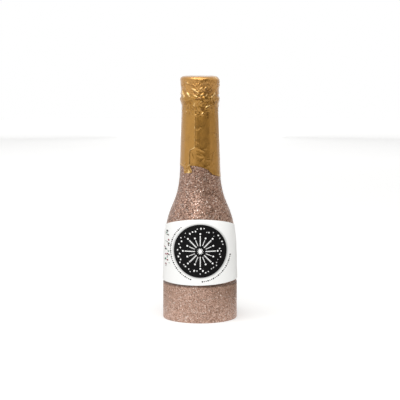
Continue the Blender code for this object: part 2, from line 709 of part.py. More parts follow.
# Cutter for the slot in which a disc of this radius clears a rib of the shell.
def rib_slot_mesh(name, disc_radius, bottom, top):
    inner = RIB_INNER - SLIDE_GAP
    outer = disc_radius + CUT_PAST
    size = (outer - inner, RIB_WIDTH + 2 * SLIDE_GAP, top - bottom + 2 * CUT_PAST)
    return box_mesh(name, size, ((inner + outer) / 2, 0.0, (bottom + top) / 2))


def make_breech_block(finish):
    flange_radius = shell_inner_radius(BREECH_FLANGE_TOP) - GAP
    hub_radius = BREECH_BORE + BREECH_HUB_WALL
    pocket_inner = RETURN_SPRING_RADIUS - RETURN_SPRING_WIRE - 2 * GAP
    pocket_outer = RETURN_SPRING_RADIUS + RETURN_SPRING_WIRE + 2 * GAP
    spigot_inner = SPIGOT_RADIUS - SPIGOT_WALL
    outline = [(0.0, BREECH_PLATE_BOTTOM), (BREECH_BORE, BREECH_PLATE_BOTTOM)]
    outline += [(BREECH_BORE, BREECH_HUB_BOTTOM), (hub_radius, BREECH_HUB_BOTTOM)]
    outline.append((hub_radius, BREECH_BOTTOM))
    outline += [(pocket_inner, BREECH_BOTTOM), (pocket_inner, RETURN_SPRING_POCKET)]
    outline += [(pocket_outer, RETURN_SPRING_POCKET), (pocket_outer, BREECH_BOTTOM)]
    outline += [(flange_radius, BREECH_BOTTOM), (flange_radius, BREECH_FLANGE_TOP)]
    outline += [(BREECH_BODY_RADIUS, BREECH_FLANGE_TOP), (BREECH_BODY_RADIUS, BREECH_PLATE_TOP)]
    outline += [(SPIGOT_RADIUS, BREECH_PLATE_TOP), (SPIGOT_RADIUS, SPIGOT_TOP)]
    outline += [(spigot_inner, SPIGOT_TOP), (spigot_inner, BREECH_PLATE_TOP), (0.0, BREECH_PLATE_TOP)]
    breech = add_object("breech_block", turned("breech_block", outline), finish)
    low = BREECH_PLATE_BOTTOM - CUT_PAST
    high = BREECH_PLATE_TOP + CUT_PAST
    tool(breech, round_bar_mesh("pin_hole", PIN_RADIUS + GAP, low, high), "DIFFERENCE")
    for index in range(VENT_COUNT):
        angle = math.tau * index / VENT_COUNT
        center = (VENT_CIRCLE_RADIUS * math.cos(angle), VENT_CIRCLE_RADIUS * math.sin(angle))
        vent = round_bar_mesh(f"vent_{index + 1}", VENT_RADIUS, low, high, SMALL_STEPS, center)
        tool(breech, vent, "DIFFERENCE")
    for index, angle in enumerate(rib_angles()):
        cutter = rib_slot_mesh(f"flange_notch_{index + 1}", flange_radius, BREECH_BOTTOM, BREECH_FLANGE_TOP)
        tool(breech, turned_about_z(cutter, angle + 180.0 / RIB_COUNT), "DIFFERENCE")
    return breech


def make_depressor_pin(finish):
    head_bottom = BREECH_PLATE_TOP + GAP
    head_top = head_bottom + PIN_HEAD_THICKNESS
    outline = [(0.0, PIN_TIP), (PIN_RADIUS, PIN_TIP), (PIN_RADIUS, head_bottom)]
    outline += [(PIN_HEAD_RADIUS, head_bottom), (PIN_HEAD_RADIUS, head_top), (0.0, head_top)]
    return add_object("depressor_pin", turned("depressor_pin", outline, SMALL_STEPS), finish)


# Air cartridge

def dome(offset, count):
    center = (CYLINDER_NECK_RADIUS, CYLINDER_SHOULDER)
    radii = (CYLINDER_RADIUS - CYLINDER_NECK_RADIUS + offset, CYLINDER_DOME + offset)
    return arc(center, radii, 0, 90, count)


def make_air_cylinder(finish, axis):
    wall = CYLINDER_WALL
    fillet = CYLINDER_FOOT_FILLET
    dish = arc((0.0, CYLINDER_BOTTOM), (CYLINDER_RADIUS - CYLINDER_DISH_INSET, CYLINDER_DISH_DEPTH), 90, 0, 3)
    corner = (CYLINDER_RADIUS - fillet, CYLINDER_BOTTOM + fillet)
    outline = dish + arc(corner, (fillet, fillet), -90, 0, 3)
    outline += dome(0.0, 5)
    outline += [(CYLINDER_NECK_RADIUS, CYLINDER_TOP), (CYLINDER_NECK_BORE, CYLINDER_TOP)]
    inner_top = CYLINDER_SHOULDER + CYLINDER_DOME - wall
    outline += [(CYLINDER_NECK_BORE, inner_top)] + dome(-wall, 4)[::-1]
    outline += arc(corner, (fillet - wall, fillet - wall), 0, -90, 2)
    outline += [(radius, height + wall) for radius, height in dish[::-1]]
    return add_object("air_cylinder", turned("air_cylinder", outline), finish, axis)


def make_spring_seat(finish, axis):
    neck_side = CYLINDER_NECK_RADIUS + GAP
    lip_top = SPRING_SEAT_TOP + SPRING_SEAT_LIP
    lip_inner = SPRING_SEAT_RADIUS - SPRING_SEAT_LIP_WIDTH
    reach = CYLINDER_RADIUS - CYLINDER_NECK_RADIUS + GAP
    outline = []
    for radius in spaced(neck_side, SPRING_SEAT_RADIUS, 4):
        drop = math.sqrt(1.0 - ((radius - CYLINDER_NECK_RADIUS) / reach) ** 2)
        outline.append((radius, CYLINDER_SHOULDER + (CYLINDER_DOME + GAP) * drop))
    outline += [(SPRING_SEAT_RADIUS, lip_top), (lip_inner, lip_top), (lip_inner, SPRING_SEAT_TOP)]
    outline.append((neck_side, SPRING_SEAT_TOP))
    return add_object("spring_seat", turned("spring_seat", outline), finish, axis)


def make_valve_body(finish, axis):
    groove_radius = BREECH_BORE - 2 * O_RING_WIRE - 2 * SEAL_GAP
    groove_low = O_RING_HEIGHT - O_RING_GROOVE_WIDTH / 2
    groove_high = O_RING_HEIGHT + O_RING_GROOVE_WIDTH / 2
    outline = [(CHAMBER_RADIUS, VALVE_TAIL_BOTTOM), (VALVE_TAIL_RADIUS, VALVE_TAIL_BOTTOM)]
    hex_middle = (VALVE_HEX_BOTTOM + VALVE_HEX_TOP) / 2
    outline += [(VALVE_TAIL_RADIUS, hex_middle), (NOZZLE_RADIUS, hex_middle)]
    outline += [(NOZZLE_RADIUS, groove_low), (groove_radius, groove_low), (groove_radius, groove_high)]
    outline += [(NOZZLE_RADIUS, groove_high), (NOZZLE_RADIUS, NOZZLE_TOP), (NOZZLE_BORE, NOZZLE_TOP)]
    outline += [(NOZZLE_BORE, VALVE_SEAT), (CHAMBER_RADIUS, VALVE_SEAT), (CHAMBER_RADIUS, SNAP_GROOVE_TOP)]
    outline += [(SNAP_RADIUS, SNAP_GROOVE_TOP), (SNAP_RADIUS, SNAP_GROOVE_BOTTOM)]
    outline.append((CHAMBER_RADIUS, SNAP_GROOVE_BOTTOM))
    body = add_object("valve_body", turned("valve_body", outline, SMALL_STEPS), finish, axis)
    nut_inner = NOZZLE_RADIUS - GAP
    nut = [(nut_inner, VALVE_HEX_BOTTOM), (VALVE_HEX_RADIUS, VALVE_HEX_BOTTOM)]
    nut += [(VALVE_HEX_RADIUS, VALVE_HEX_TOP), (nut_inner, VALVE_HEX_TOP)]
    tool(body, turned("valve_hexagon", nut, 6), "UNION")
    return body


def make_nozzle_o_ring(finish, axis):
    center = (BREECH_BORE - SEAL_GAP - O_RING_WIRE, O_RING_HEIGHT)
    outline = arc(center, (O_RING_WIRE, O_RING_WIRE), 0, 360, 8)[:-1]
    return add_object("nozzle_o_ring", turned("nozzle_o_ring", outline, SMALL_STEPS), finish, axis)


def make_valve_poppet(finish, axis):
    boss_bottom = POPPET_HEAD_BOTTOM - POPPET_BOSS_LENGTH
    outline = [(0.0, boss_bottom), (POPPET_BOSS_RADIUS, boss_bottom)]
    outline += [(POPPET_BOSS_RADIUS, POPPET_HEAD_BOTTOM), (POPPET_HEAD_RADIUS, POPPET_HEAD_BOTTOM)]
    outline.append((POPPET_HEAD_RADIUS, POPPET_HEAD_TOP))
    outline += [(STEM_RADIUS, POPPET_HEAD_TOP), (STEM_RADIUS, STEM_TOP), (0.0, STEM_TOP)]
    return add_object("valve_poppet", turned("valve_poppet", outline, SMALL_STEPS), finish, axis)


def make_valve_washer(finish, axis):
    hole = STEM_RADIUS + GAP
    outline = [(hole, WASHER_BOTTOM), (WASHER_RADIUS, WASHER_BOTTOM)]
    outline += [(WASHER_RADIUS, WASHER_TOP), (hole, WASHER_TOP)]
    return add_object("valve_washer", turned("valve_washer", outline, SMALL_STEPS), finish, axis)


def make_spring_retainer(finish, axis):
    outer = SNAP_RADIUS - GAP
    outline = [(RETAINER_HOLE, RETAINER_BOTTOM), (outer, RETAINER_BOTTOM)]
    outline += [(outer, RETAINER_TOP), (RETAINER_HOLE, RETAINER_TOP)]
    return add_object("spring_retainer", turned("spring_retainer", outline, SMALL_STEPS), finish, axis)


# Drive: the carrier's followers stand on the cam's ramps, low end first

def lobe_angles():
    return [360.0 * index / RIB_COUNT for index in range(RIB_COUNT)]


def ramp_surface(low_end_deg):
    return lambda angle: RAMP_START + LIFT_PER_DEG * (low_end_deg - angle)


def make_cam_ring(finish, axis):
    outline = [(CAM_INNER, CAM_BOTTOM), (CAM_OUTER, CAM_BOTTOM)]
    outline += [(CAM_OUTER, CAM_BASE_TOP), (CAM_INNER, CAM_BASE_TOP)]
    cam = add_object("cam_ring", turned("cam_ring", outline, OUTER_STEPS), finish, axis)
    radii = (RAMP_INNER, RAMP_OUTER)
    sunk = lambda angle: CAM_BASE_TOP - CAM_BASE_THICKNESS / 2
    stop_top = lambda angle: STOP_TOP
    for index, low_end in enumerate(lobe_angles()):
        high_end = low_end - RAMP_SPAN_DEG
        first = high_end - STOP_DEG / 2
        last = low_end + STOP_DEG / 2
        ramp = sector_mesh(f"ramp_{index + 1}", radii, first, last, 12, sunk, ramp_surface(low_end))
        tool(cam, ramp, "UNION")
        low_stop = sector_mesh(f"low_stop_{index + 1}", radii, low_end, low_end + STOP_DEG, 1, sunk, stop_top)
        tool(cam, low_stop, "UNION")
        behind = high_end - STOP_DEG
        high_stop = sector_mesh(f"high_stop_{index + 1}", radii, behind, high_end, 1, sunk, stop_top)
        tool(cam, high_stop, "UNION")
    return cam


def make_cylinder_carrier(finish, axis):
    floor_top = CARRIER_FLOOR_TOP
    cup_inner = CYLINDER_RADIUS + GAP
    cup_outer = cup_inner + CARRIER_CUP_WALL
    cup_top = floor_top + CARRIER_CUP_HEIGHT
    rim = SKIRT_INNER - SLIDE_GAP
    outline = [(0.0, CARRIER_FLOOR), (rim, CARRIER_FLOOR), (rim, floor_top), (cup_outer, floor_top)]
    outline += [(cup_outer, cup_top), (cup_inner, cup_top), (cup_inner, floor_top), (0.0, floor_top)]
    carrier = add_object("cylinder_carrier", turned("cylinder_carrier", outline), finish, axis)
    radii = (RAMP_INNER + GAP, RAMP_OUTER - GAP)
    inside_floor = lambda angle: CARRIER_FLOOR + CARRIER_THICKNESS / 2
    for index, low_end in enumerate(lobe_angles()):
        ramp = ramp_surface(low_end)
        last = low_end - STOP_CLEARANCE_DEG
        follower = sector_mesh(
            f"follower_{index + 1}",
            radii,
            last - FOLLOWER_DEG,
            last,
            3,
            lambda angle: ramp(angle) + GAP,
            inside_floor,
        )
        tool(carrier, follower, "UNION")
    for index, angle in enumerate(rib_angles()):
        cutter = rib_slot_mesh(f"key_slot_{index + 1}", rim, CARRIER_FLOOR, CARRIER_FLOOR_TOP)
        tool(carrier, turned_about_z(cutter, angle), "DIFFERENCE")
    return carrier


# Build

clear_scene()

glitter = material("rose_gold_glitter", (0.42, 0.24, 0.18), 0.35, 0.6)
foil = material("gold_foil", (0.62, 0.36, 0.12), 0.28, 1.0)
paper = material("label_paper", (0.85, 0.85, 0.84), 0.7)
card = material("cardboard", (0.42, 0.27, 0.15), 0.85)
cap_plastic = material("cap_plastic", (0.7, 0.68, 0.62), 0.5)
core_plastic = material("core_plastic", (0.12, 0.12, 0.13), 0.45)
drive_plastic = material("drive_plastic", (0.75, 0.75, 0.72), 0.4)
aluminium = material("cylinder_aluminium", (0.72, 0.73, 0.75), 0.3, 1.0)
brass = material("valve_brass", (0.62, 0.42, 0.16), 0.3, 1.0)
steel = material("spring_steel", (0.55, 0.56, 0.58), 0.25, 1.0)
rubber = material("seal_rubber", (0.03, 0.03, 0.03), 0.8)
felt = material("wad_felt", (0.6, 0.58, 0.52), 0.95)
gold_slips = material("gold_slips", (0.65, 0.42, 0.14), 0.3, 1.0)
rose_slips = material("rose_slips", (0.6, 0.3, 0.24), 0.3, 1.0)
white_slips = material("white_slips", (0.82, 0.82, 0.8), 0.7)

base_axis = joint_empty("base_twist_axis")
cartridge_axis = joint_empty("cartridge_lift_axis")
poppet_axis = joint_empty("poppet_press_axis", cartridge_axis)
load_axis = joint_empty("load_launch_axis")
cap_axis = joint_empty("cap_pop_axis")

make_bottle_shell(glitter)
make_twist_base(glitter, base_axis)
make_underside_sticker(paper, base_axis)
make_cam_ring(drive_plastic, base_axis)
make_retaining_ring(drive_plastic)
make_paper_label(paper)
make_foil_sleeve(foil)
make_foil_head(foil, cap_axis)
make_mouth_cap(cap_plastic, cap_axis)
make_launch_tube(card)
make_breech_block(core_plastic)
make_depressor_pin(steel)

make_pusher_wad(felt, load_axis)
make_cover_disc(card, load_axis)
for place, (color, finish) in enumerate((("gold", gold_slips), ("rose", rose_slips), ("white", white_slips))):
    make_slip_stack(f"{color}_slips_lower", LOWER_TIER, place, 0.0, finish, load_axis)
    make_slip_stack(f"{color}_slips_upper", UPPER_TIER, place, 90.0, finish, load_axis)

make_air_cylinder(aluminium, cartridge_axis)
make_cylinder_carrier(drive_plastic, cartridge_axis)
make_spring_seat(drive_plastic, cartridge_axis)
make_valve_body(brass, cartridge_axis)
make_nozzle_o_ring(rubber, cartridge_axis)
make_spring_retainer(core_plastic, cartridge_axis)
make_valve_poppet(steel, poppet_axis)
make_valve_washer(rubber, poppet_axis)

coil(
    "valve_spring",
    VALVE_SPRING_RADIUS,
    VALVE_SPRING_WIRE,
    RETAINER_TOP + GAP,
    POPPET_HEAD_BOTTOM - GAP,
    VALVE_SPRING_TURNS,
    steel,
    cartridge_axis,
)
coil(
    "return_spring",
    RETURN_SPRING_RADIUS,
    RETURN_SPRING_WIRE,
    SPRING_SEAT_TOP + GAP,
    RETURN_SPRING_POCKET - GAP,
    RETURN_SPRING_TURNS,
    steel,
)
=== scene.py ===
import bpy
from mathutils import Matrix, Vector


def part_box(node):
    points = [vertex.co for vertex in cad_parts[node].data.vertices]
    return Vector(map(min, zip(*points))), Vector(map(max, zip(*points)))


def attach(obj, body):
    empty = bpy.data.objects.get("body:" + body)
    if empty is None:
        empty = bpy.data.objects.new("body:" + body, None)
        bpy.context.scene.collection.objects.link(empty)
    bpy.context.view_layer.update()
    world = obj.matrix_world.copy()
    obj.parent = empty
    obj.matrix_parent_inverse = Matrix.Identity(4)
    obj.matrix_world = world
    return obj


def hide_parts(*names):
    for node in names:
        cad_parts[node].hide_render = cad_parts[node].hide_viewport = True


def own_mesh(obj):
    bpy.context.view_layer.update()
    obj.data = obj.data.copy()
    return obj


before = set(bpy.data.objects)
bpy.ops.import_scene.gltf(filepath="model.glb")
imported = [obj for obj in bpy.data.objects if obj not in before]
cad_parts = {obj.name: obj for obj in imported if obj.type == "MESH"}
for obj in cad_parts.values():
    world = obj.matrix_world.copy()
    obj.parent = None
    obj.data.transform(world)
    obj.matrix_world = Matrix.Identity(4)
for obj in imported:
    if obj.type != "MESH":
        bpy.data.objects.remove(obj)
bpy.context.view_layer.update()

import bisect
import math
import random
from functools import partial

import bmesh
import bpy
from mathutils import Vector, noise

# Camera
# A long lens a little above the popper, looking down at its middle, as the photograph was taken.
camera_data = bpy.data.cameras.new("camera")
camera_data.sensor_width = 36.0
camera_data.lens = 132.2
camera_data.clip_end = 100.0
camera = bpy.data.objects.new("camera", camera_data)
camera.location = (0.0, -1.4, 0.28)
camera.rotation_euler = (math.radians(83.212), 0.0, 0.0)
bpy.context.scene.collection.objects.link(camera)
bpy.context.scene.camera = camera
bpy.context.scene.view_settings.view_transform = "Standard"


# Floor
# A plain white table top. It keeps the popper's shadow, and the camera, metal and glass see it as white.
def linear(colour):
    channels = [int(colour[place:place + 2], 16) / 255 for place in (1, 3, 5)]
    curved = [one / 12.92 if one <= 0.04045 else ((one + 0.055) / 1.055) ** 2.4 for one in channels]
    return (*curved, 1.0)


def set_inputs(made, inputs):
    for socket, value in inputs.items():
        if isinstance(value, bpy.types.Node):
            value = next(output for output in value.outputs if output.enabled)
        if isinstance(value, bpy.types.NodeSocket):
            made.id_data.links.new(value, made.inputs[socket])
        else:
            made.inputs[socket].default_value = value


def add_node(tree, kind, inputs=None, **settings):
    made = tree.nodes.new(kind)
    for name, value in settings.items():
        setattr(made, name, value)
    set_inputs(made, inputs or {})
    return made


# A finish comes with the function that adds a node to it, and with its shader.
def start_finish(name):
    finish = bpy.data.materials.new(name)
    finish.use_nodes = True
    return finish, partial(add_node, finish.node_tree), finish.node_tree.nodes["Principled BSDF"]


def seen_rays(add):
    path = add("ShaderNodeLightPath").outputs
    two = add("ShaderNodeMath", {0: path["Is Camera Ray"], 1: path["Is Glossy Ray"]}, operation="MAXIMUM")
    return add("ShaderNodeMath", {0: two, 1: path["Is Transmission Ray"]}, operation="MAXIMUM")


def start_piece(name, add_primitive, **size):
    bpy.ops.object.select_all(action="DESELECT")
    add_primitive(**size)
    piece = bpy.context.object
    piece.name = piece.data.name = name
    return piece


FLOOR_RADIUS = 3.0
NEAR, FAR = 0.1, 1.7
NEAR_GLOW, FAR_GLOW = 0.26, 0.60
floor = start_piece("floor", bpy.ops.mesh.primitive_circle_add, vertices=96, radius=FLOOR_RADIUS,
                    fill_type="NGON")
floor_paint, add, shader = start_finish("matt_white_table")
set_inputs(shader, {"Base Color": linear("#E4E4E3"), "Roughness": 0.9, "Specular IOR Level": 0.0})
spot = add("ShaderNodeTexCoord").outputs["Object"]
away = add("ShaderNodeVectorMath", {0: spot}, operation="LENGTH")
outward = add("ShaderNodeMapRange",
              {"Value": away, "From Min": NEAR, "From Max": FAR,
               "To Min": NEAR_GLOW, "To Max": FAR_GLOW})
share = add("ShaderNodeMath", {0: seen_rays(add), 1: outward}, operation="MULTIPLY")
glow = add("ShaderNodeEmission", {"Color": (1, 1, 1, 1), "Strength": share})
both = add("ShaderNodeAddShader", {0: shader, 1: glow})
set_inputs(floor_paint.node_tree.nodes["Material Output"], {"Surface": both})
floor.data.materials.append(floor_paint)


# Light
# A white studio: even light from all round, a broad soft box overhead and a small one high in front that
# the glitter catches. The foil mirrors a warm grey screen in front and a pale one on the right, two dark
# flags behind turn the label's ends grey, and the base mirrors a grey card on the table at each side.
MIDDLE = (0.0, 0.0, 0.12)
WORLD_LIGHT = 0.80
world = bpy.data.worlds.new("white_studio")
world.use_nodes = True
bpy.context.scene.world = world
add = partial(add_node, world.node_tree)
level = add("ShaderNodeMapRange", {"Value": seen_rays(add), "To Min": WORLD_LIGHT, "To Max": 1.0})
set_inputs(world.node_tree.nodes["Background"], {"Color": (1.0, 1.0, 1.0, 1.0), "Strength": level})


def soft_box(name, place, width, height, radiance):
    lamp = bpy.data.lights.new(name, "AREA")
    lamp.shape = "RECTANGLE"
    lamp.size = width
    lamp.size_y = height
    lamp.energy = radiance * math.pi * width * height
    made = bpy.data.objects.new(name, lamp)
    made.location = place
    made.rotation_euler = (Vector(MIDDLE) - Vector(place)).to_track_quat("-Z", "Y").to_euler()
    bpy.context.scene.collection.objects.link(made)
    made.visible_camera = False


soft_box("overhead_box", (-0.2, -0.35, 1.45), 1.4, 1.1, 2.35)
soft_box("front_box", (-0.08, -1.25, 1.05), 0.42, 0.38, 7.0)

SCREEN_DISTANCE = 1.9
FLAG_DISTANCE = 2.3


def studio_screen(name, first_deg, last_deg, height, colour, for_matt=False):
    reach = FLAG_DISTANCE if for_matt else SCREEN_DISTANCE
    screen = start_piece(name, bpy.ops.mesh.primitive_cylinder_add, vertices=72, radius=reach, depth=height,
                         end_fill_type="NOTHING", location=(0.0, 0.0, height / 2))
    bpy.ops.object.mode_set(mode="EDIT")
    bpy.ops.mesh.select_mode(type="FACE")
    bpy.ops.mesh.select_all(action="DESELECT")
    bpy.ops.object.mode_set(mode="OBJECT")
    for face in screen.data.polygons:
        turned = math.degrees(math.atan2(face.center.x, -face.center.y))
        face.select = not first_deg < turned < last_deg
    bpy.ops.object.mode_set(mode="EDIT")
    bpy.ops.mesh.delete(type="FACE")
    bpy.ops.mesh.select_mode(type="VERT")
    bpy.ops.object.mode_set(mode="OBJECT")
    screen.visible_camera = False
    screen.visible_diffuse = for_matt
    screen.visible_glossy = not for_matt
    cloth, _, shader = start_finish(name + "_cloth")
    set_inputs(shader, {"Base Color": linear(colour), "Roughness": 1.0, "Specular IOR Level": 0.0})
    screen.data.materials.append(cloth)


studio_screen("front_screen", -25.0, 58.0, 2.7, "#968B78")
studio_screen("right_screen", 58.0, 150.0, 1.0, "#F3ECE2")
studio_screen("right_flag", 92.0, 175.0, 2.6, "#4A4743", for_matt=True)
studio_screen("left_flag", -175.0, -110.0, 2.6, "#5A5753", for_matt=True)

CARD_WIDTH, CARD_DEPTH = 0.5, 0.8
for name, place, colour in (("right_card", 0.33, "#8E857A"), ("left_card", -0.33, "#CFC8BE")):
    card = start_piece(name, bpy.ops.mesh.primitive_plane_add, size=1.0, location=(place, 0.0, 0.001))
    bpy.ops.transform.resize(value=(CARD_WIDTH, CARD_DEPTH, 1.0))
    card.visible_camera = False
    card.visible_shadow = False
    card.visible_diffuse = False
    card_grey, _, shader = start_finish(name + "_board")
    set_inputs(shader, {"Base Color": linear(colour), "Roughness": 1.0})
    card.data.materials.append(card_grey)


# Twist base
# The foot of the bottle: a moulded cup coated in rose-gold glitter, which turns on the shell above it.
# A lathe outline is spun round the bottle's axis, and the coat's faces are jogged so that each is a flake.
BASE_RADIUS = 35.6
BASE_HEIGHT = 36.2
BASE_WALL = 1.8
BASE_CORNER = 0.9
BASE_INNER = BASE_RADIUS - BASE_WALL
BASE_FLOOR = 0.8
BASE_FLOOR_TOP = 2.8
FOOT_INNER = 28.0
COAT_EDGE = BASE_HEIGHT - 1.6
SLOT_RADIUS = 34.5
SLOT_FOOT = 19.7
SLOT_TOP = 21.9
GAP = 0.3
COAT_DEPTH = 0.4
FLAKE_JOG = 0.045
ROUND_STEPS = 212
# All of the popper's sizes are in millimetres, and MM turns them to Blender's metres.
MM = 0.001


def spaced(first, last, count):
    return [first + (last - first) * index / (count - 1) for index in range(count)]


def arc(center, radius, start_deg, end_deg, count):
    turns = [math.radians(angle) for angle in spaced(start_deg, end_deg, count)]
    return [(center[0] + radius * math.cos(turn), center[1] + radius * math.sin(turn)) for turn in turns]


def edit_mesh(action):
    bpy.ops.object.mode_set(mode="EDIT")
    bpy.ops.mesh.select_all(action=action)


def leave_edit():
    bpy.ops.object.mode_set(mode="OBJECT")


def spin_outline(name, outline, steps):
    piece = start_piece(name, bpy.ops.mesh.primitive_circle_add, vertices=3, radius=MM)
    edit_mesh("SELECT")
    bpy.ops.mesh.merge(type="CENTER")
    bpy.ops.transform.translate(value=(outline[0][0] * MM, 0.0, outline[0][1] * MM))
    for (radius, height), (next_radius, next_height) in zip(outline, outline[1:]):
        step = ((next_radius - radius) * MM, 0.0, (next_height - height) * MM)
        bpy.ops.mesh.extrude_vertices_move(TRANSFORM_OT_translate={"value": step})
    if outline[0][0] > 0.0 or outline[-1][0] > 0.0:
        edited = bmesh.from_edit_mesh(piece.data)
        edited.verts.ensure_lookup_table()
        edited.verts[0].select = True
        edited.verts[-1].select = True
        bpy.ops.mesh.edge_face_add()
    edit_mesh("SELECT")
    bpy.ops.mesh.spin(steps=steps, angle=math.tau, center=(0, 0, 0), axis=(0, 0, 1))
    edit_mesh("SELECT")
    bpy.ops.mesh.remove_doubles(threshold=1e-6)
    bpy.ops.mesh.normals_make_consistent(inside=False)
    leave_edit()
    bpy.ops.object.shade_smooth_by_angle(angle=math.radians(30.0))
    return piece


def jog_flakes(piece, in_coat, seed):
    bpy.ops.object.mode_set(mode="EDIT")
    bpy.ops.mesh.select_mode(type="VERT")
    bpy.ops.mesh.select_all(action="DESELECT")
    leave_edit()
    for vertex in piece.data.vertices:
        radius = math.hypot(vertex.co.x, vertex.co.y) / MM
        vertex.select = in_coat(radius, vertex.co.z / MM)
    bpy.ops.object.mode_set(mode="EDIT")
    bpy.ops.transform.vertex_random(offset=FLAKE_JOG * MM, uniform=1.0, normal=0.0, seed=seed)
    leave_edit()
    corners = piece.data.vertices
    for face in piece.data.polygons:
        if all(corners[corner].select for corner in face.vertices):
            face.use_smooth = False


# Rose-gold polyester glitter in clear glue: hard mirror flakes that lie at odd angles, so some flash
# nearly white and others look like dark copper. The flakes are drawn at 0.9 mm, where real ones are
# about 0.4 mm, so that the grain shows at this distance. Towards the top edge the colour is painted
# darker, a painted shadow under the label's lower edge.
FLAKE_SIZE = 0.9


def glitter_finish(name, pale, deep, tilt, sparkle, painted_shade_top):
    finish, add, shader = start_finish(name)
    where = add("ShaderNodeTexCoord").outputs["Object"]
    flakes, grit = [add("ShaderNodeTexVoronoi", {"Vector": where, "Scale": 1.0 / (size * MM)})
                    for size in (FLAKE_SIZE, 0.5 * FLAKE_SIZE)]
    chance, fine_chance = [add("ShaderNodeSeparateColor", {0: cells.outputs["Color"]})
                           for cells in (flakes, grit)]
    tone = add("ShaderNodeMix", {0: chance, 6: linear(deep), 7: linear(pale)}, data_type="RGBA")
    bright = add("ShaderNodeMapRange",
                 {"Value": chance.outputs[1], "From Min": sparkle, "From Max": 1.0, "To Max": 0.65})
    mixed = add("ShaderNodeMix", {0: bright, 6: tone, 7: linear("#F2E2D8")}, data_type="RGBA")
    fine = add("ShaderNodeMapRange", {"Value": fine_chance.outputs[1], "To Min": 0.7, "To Max": 1.25})
    height = add("ShaderNodeSeparateXYZ", {0: where})
    # Painted shade: the colour darkens towards the top edge, a painted shadow under the label's lower edge.
    painted_shade = add("ShaderNodeMapRange",
               {"Value": height.outputs["Z"], "From Min": (painted_shade_top - 0.9) * MM, "From Max": painted_shade_top * MM,
                "To Min": 1.0, "To Max": 0.45})
    both = add("ShaderNodeMath", {0: fine, 1: painted_shade}, operation="MULTIPLY")
    shaded = add("ShaderNodeVectorMath", {0: mixed, "Scale": both}, operation="SCALE")
    flash = add("ShaderNodeMapRange",
                {"Value": chance.outputs[1], "From Min": sparkle, "From Max": 1.0,
                 "To Min": 0.4, "To Max": 0.1})
    lean, fine_lean = [add("ShaderNodeVectorMath",
                           {0: cells.outputs["Color"], 1: (0.5, 0.5, 0.5)}, operation="SUBTRACT")
                       for cells in (flakes, grit)]
    coarse = add("ShaderNodeVectorMath", {0: lean, "Scale": tilt}, operation="SCALE")
    leans = add("ShaderNodeVectorMath",
                {0: fine_lean, 1: (0.45 * tilt,) * 3, 2: coarse}, operation="MULTIPLY_ADD")
    facing = add("ShaderNodeNewGeometry").outputs["Normal"]
    leaning = add("ShaderNodeVectorMath", {0: facing, 1: leans}, operation="ADD")
    unit = add("ShaderNodeVectorMath", {0: leaning}, operation="NORMALIZE")
    set_inputs(shader, {"Base Color": shaded, "Roughness": flash, "Metallic": 0.85, "Normal": unit})
    return finish


# Bare moulded plastic: even in colour, with faint flow streaks and a fine satin grain from the mould.
def moulded_finish(name, colour, streak, roughness, grain_mm):
    finish, add, shader = start_finish(name)
    where = add("ShaderNodeTexCoord").outputs["Object"]
    flow = add("ShaderNodeTexNoise", {"Vector": where, "Scale": 70.0, "Detail": 3.0, "Distortion": 0.8})
    tone = add("ShaderNodeMix", {0: flow, 6: linear(colour), 7: linear(streak)}, data_type="RGBA")
    grain = add("ShaderNodeTexNoise", {"Vector": where, "Scale": 1.0 / (grain_mm * MM), "Detail": 2.0})
    rough = add("ShaderNodeMapRange",
                {"Value": grain, "To Min": roughness - 0.08, "To Max": roughness + 0.08})
    bump = add("ShaderNodeBump", {"Height": grain, "Strength": 0.25, "Distance": 0.03 * MM})
    set_inputs(shader, {"Base Color": tone, "Roughness": rough, "Normal": bump})
    return finish


# On the base the painted shadow under the label is darkest from COAT_EDGE up.
base_glitter = glitter_finish("rose_gold_glitter_base", "#D6B4A4", "#977563", 0.40, 0.84, COAT_EDGE)

outline = [(0.0, BASE_FLOOR), (FOOT_INNER, BASE_FLOOR), (FOOT_INNER, 0.0)]
outline += arc((BASE_RADIUS - BASE_CORNER, BASE_CORNER), BASE_CORNER, -90.0, 0.0, 5)
outline += [(BASE_RADIUS, height) for height in spaced(BASE_CORNER, COAT_EDGE, 33)[1:]]
outline += [(BASE_RADIUS - 0.2, BASE_HEIGHT - 0.9), (BASE_RADIUS - 0.7, BASE_HEIGHT)]
outline += [(BASE_INNER, BASE_HEIGHT), (BASE_INNER, SLOT_TOP), (SLOT_RADIUS, SLOT_TOP)]
outline += [(SLOT_RADIUS, SLOT_FOOT), (BASE_INNER, SLOT_FOOT), (BASE_INNER, BASE_FLOOR_TOP)]
outline.append((0.0, BASE_FLOOR_TOP))
base_cup = spin_outline("twist_base_cup", outline, ROUND_STEPS)
jog_flakes(base_cup, lambda radius, height: radius > BASE_RADIUS - COAT_DEPTH and height > 1.0, 11)
bare_rose_abs = moulded_finish("bare_rose_abs", "#B48B7A", "#A67E6E", 0.42, 0.4)
base_cup.data.materials.append(base_glitter)
base_cup.data.materials.append(bare_rose_abs)
for face in base_cup.data.polygons:
    face.material_index = int(math.hypot(face.center.x, face.center.y) < (BASE_RADIUS - 0.75) * MM)
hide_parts("twist_base")
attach(base_cup, "base")


# Underside sticker
# A round white paper sticker under the base. It carries a plain curved arrow for the way the base turns,
# printed in grey ink.
def dress(node, finish):
    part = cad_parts[node].data
    for place in range(len(part.materials)):
        part.materials[place] = finish


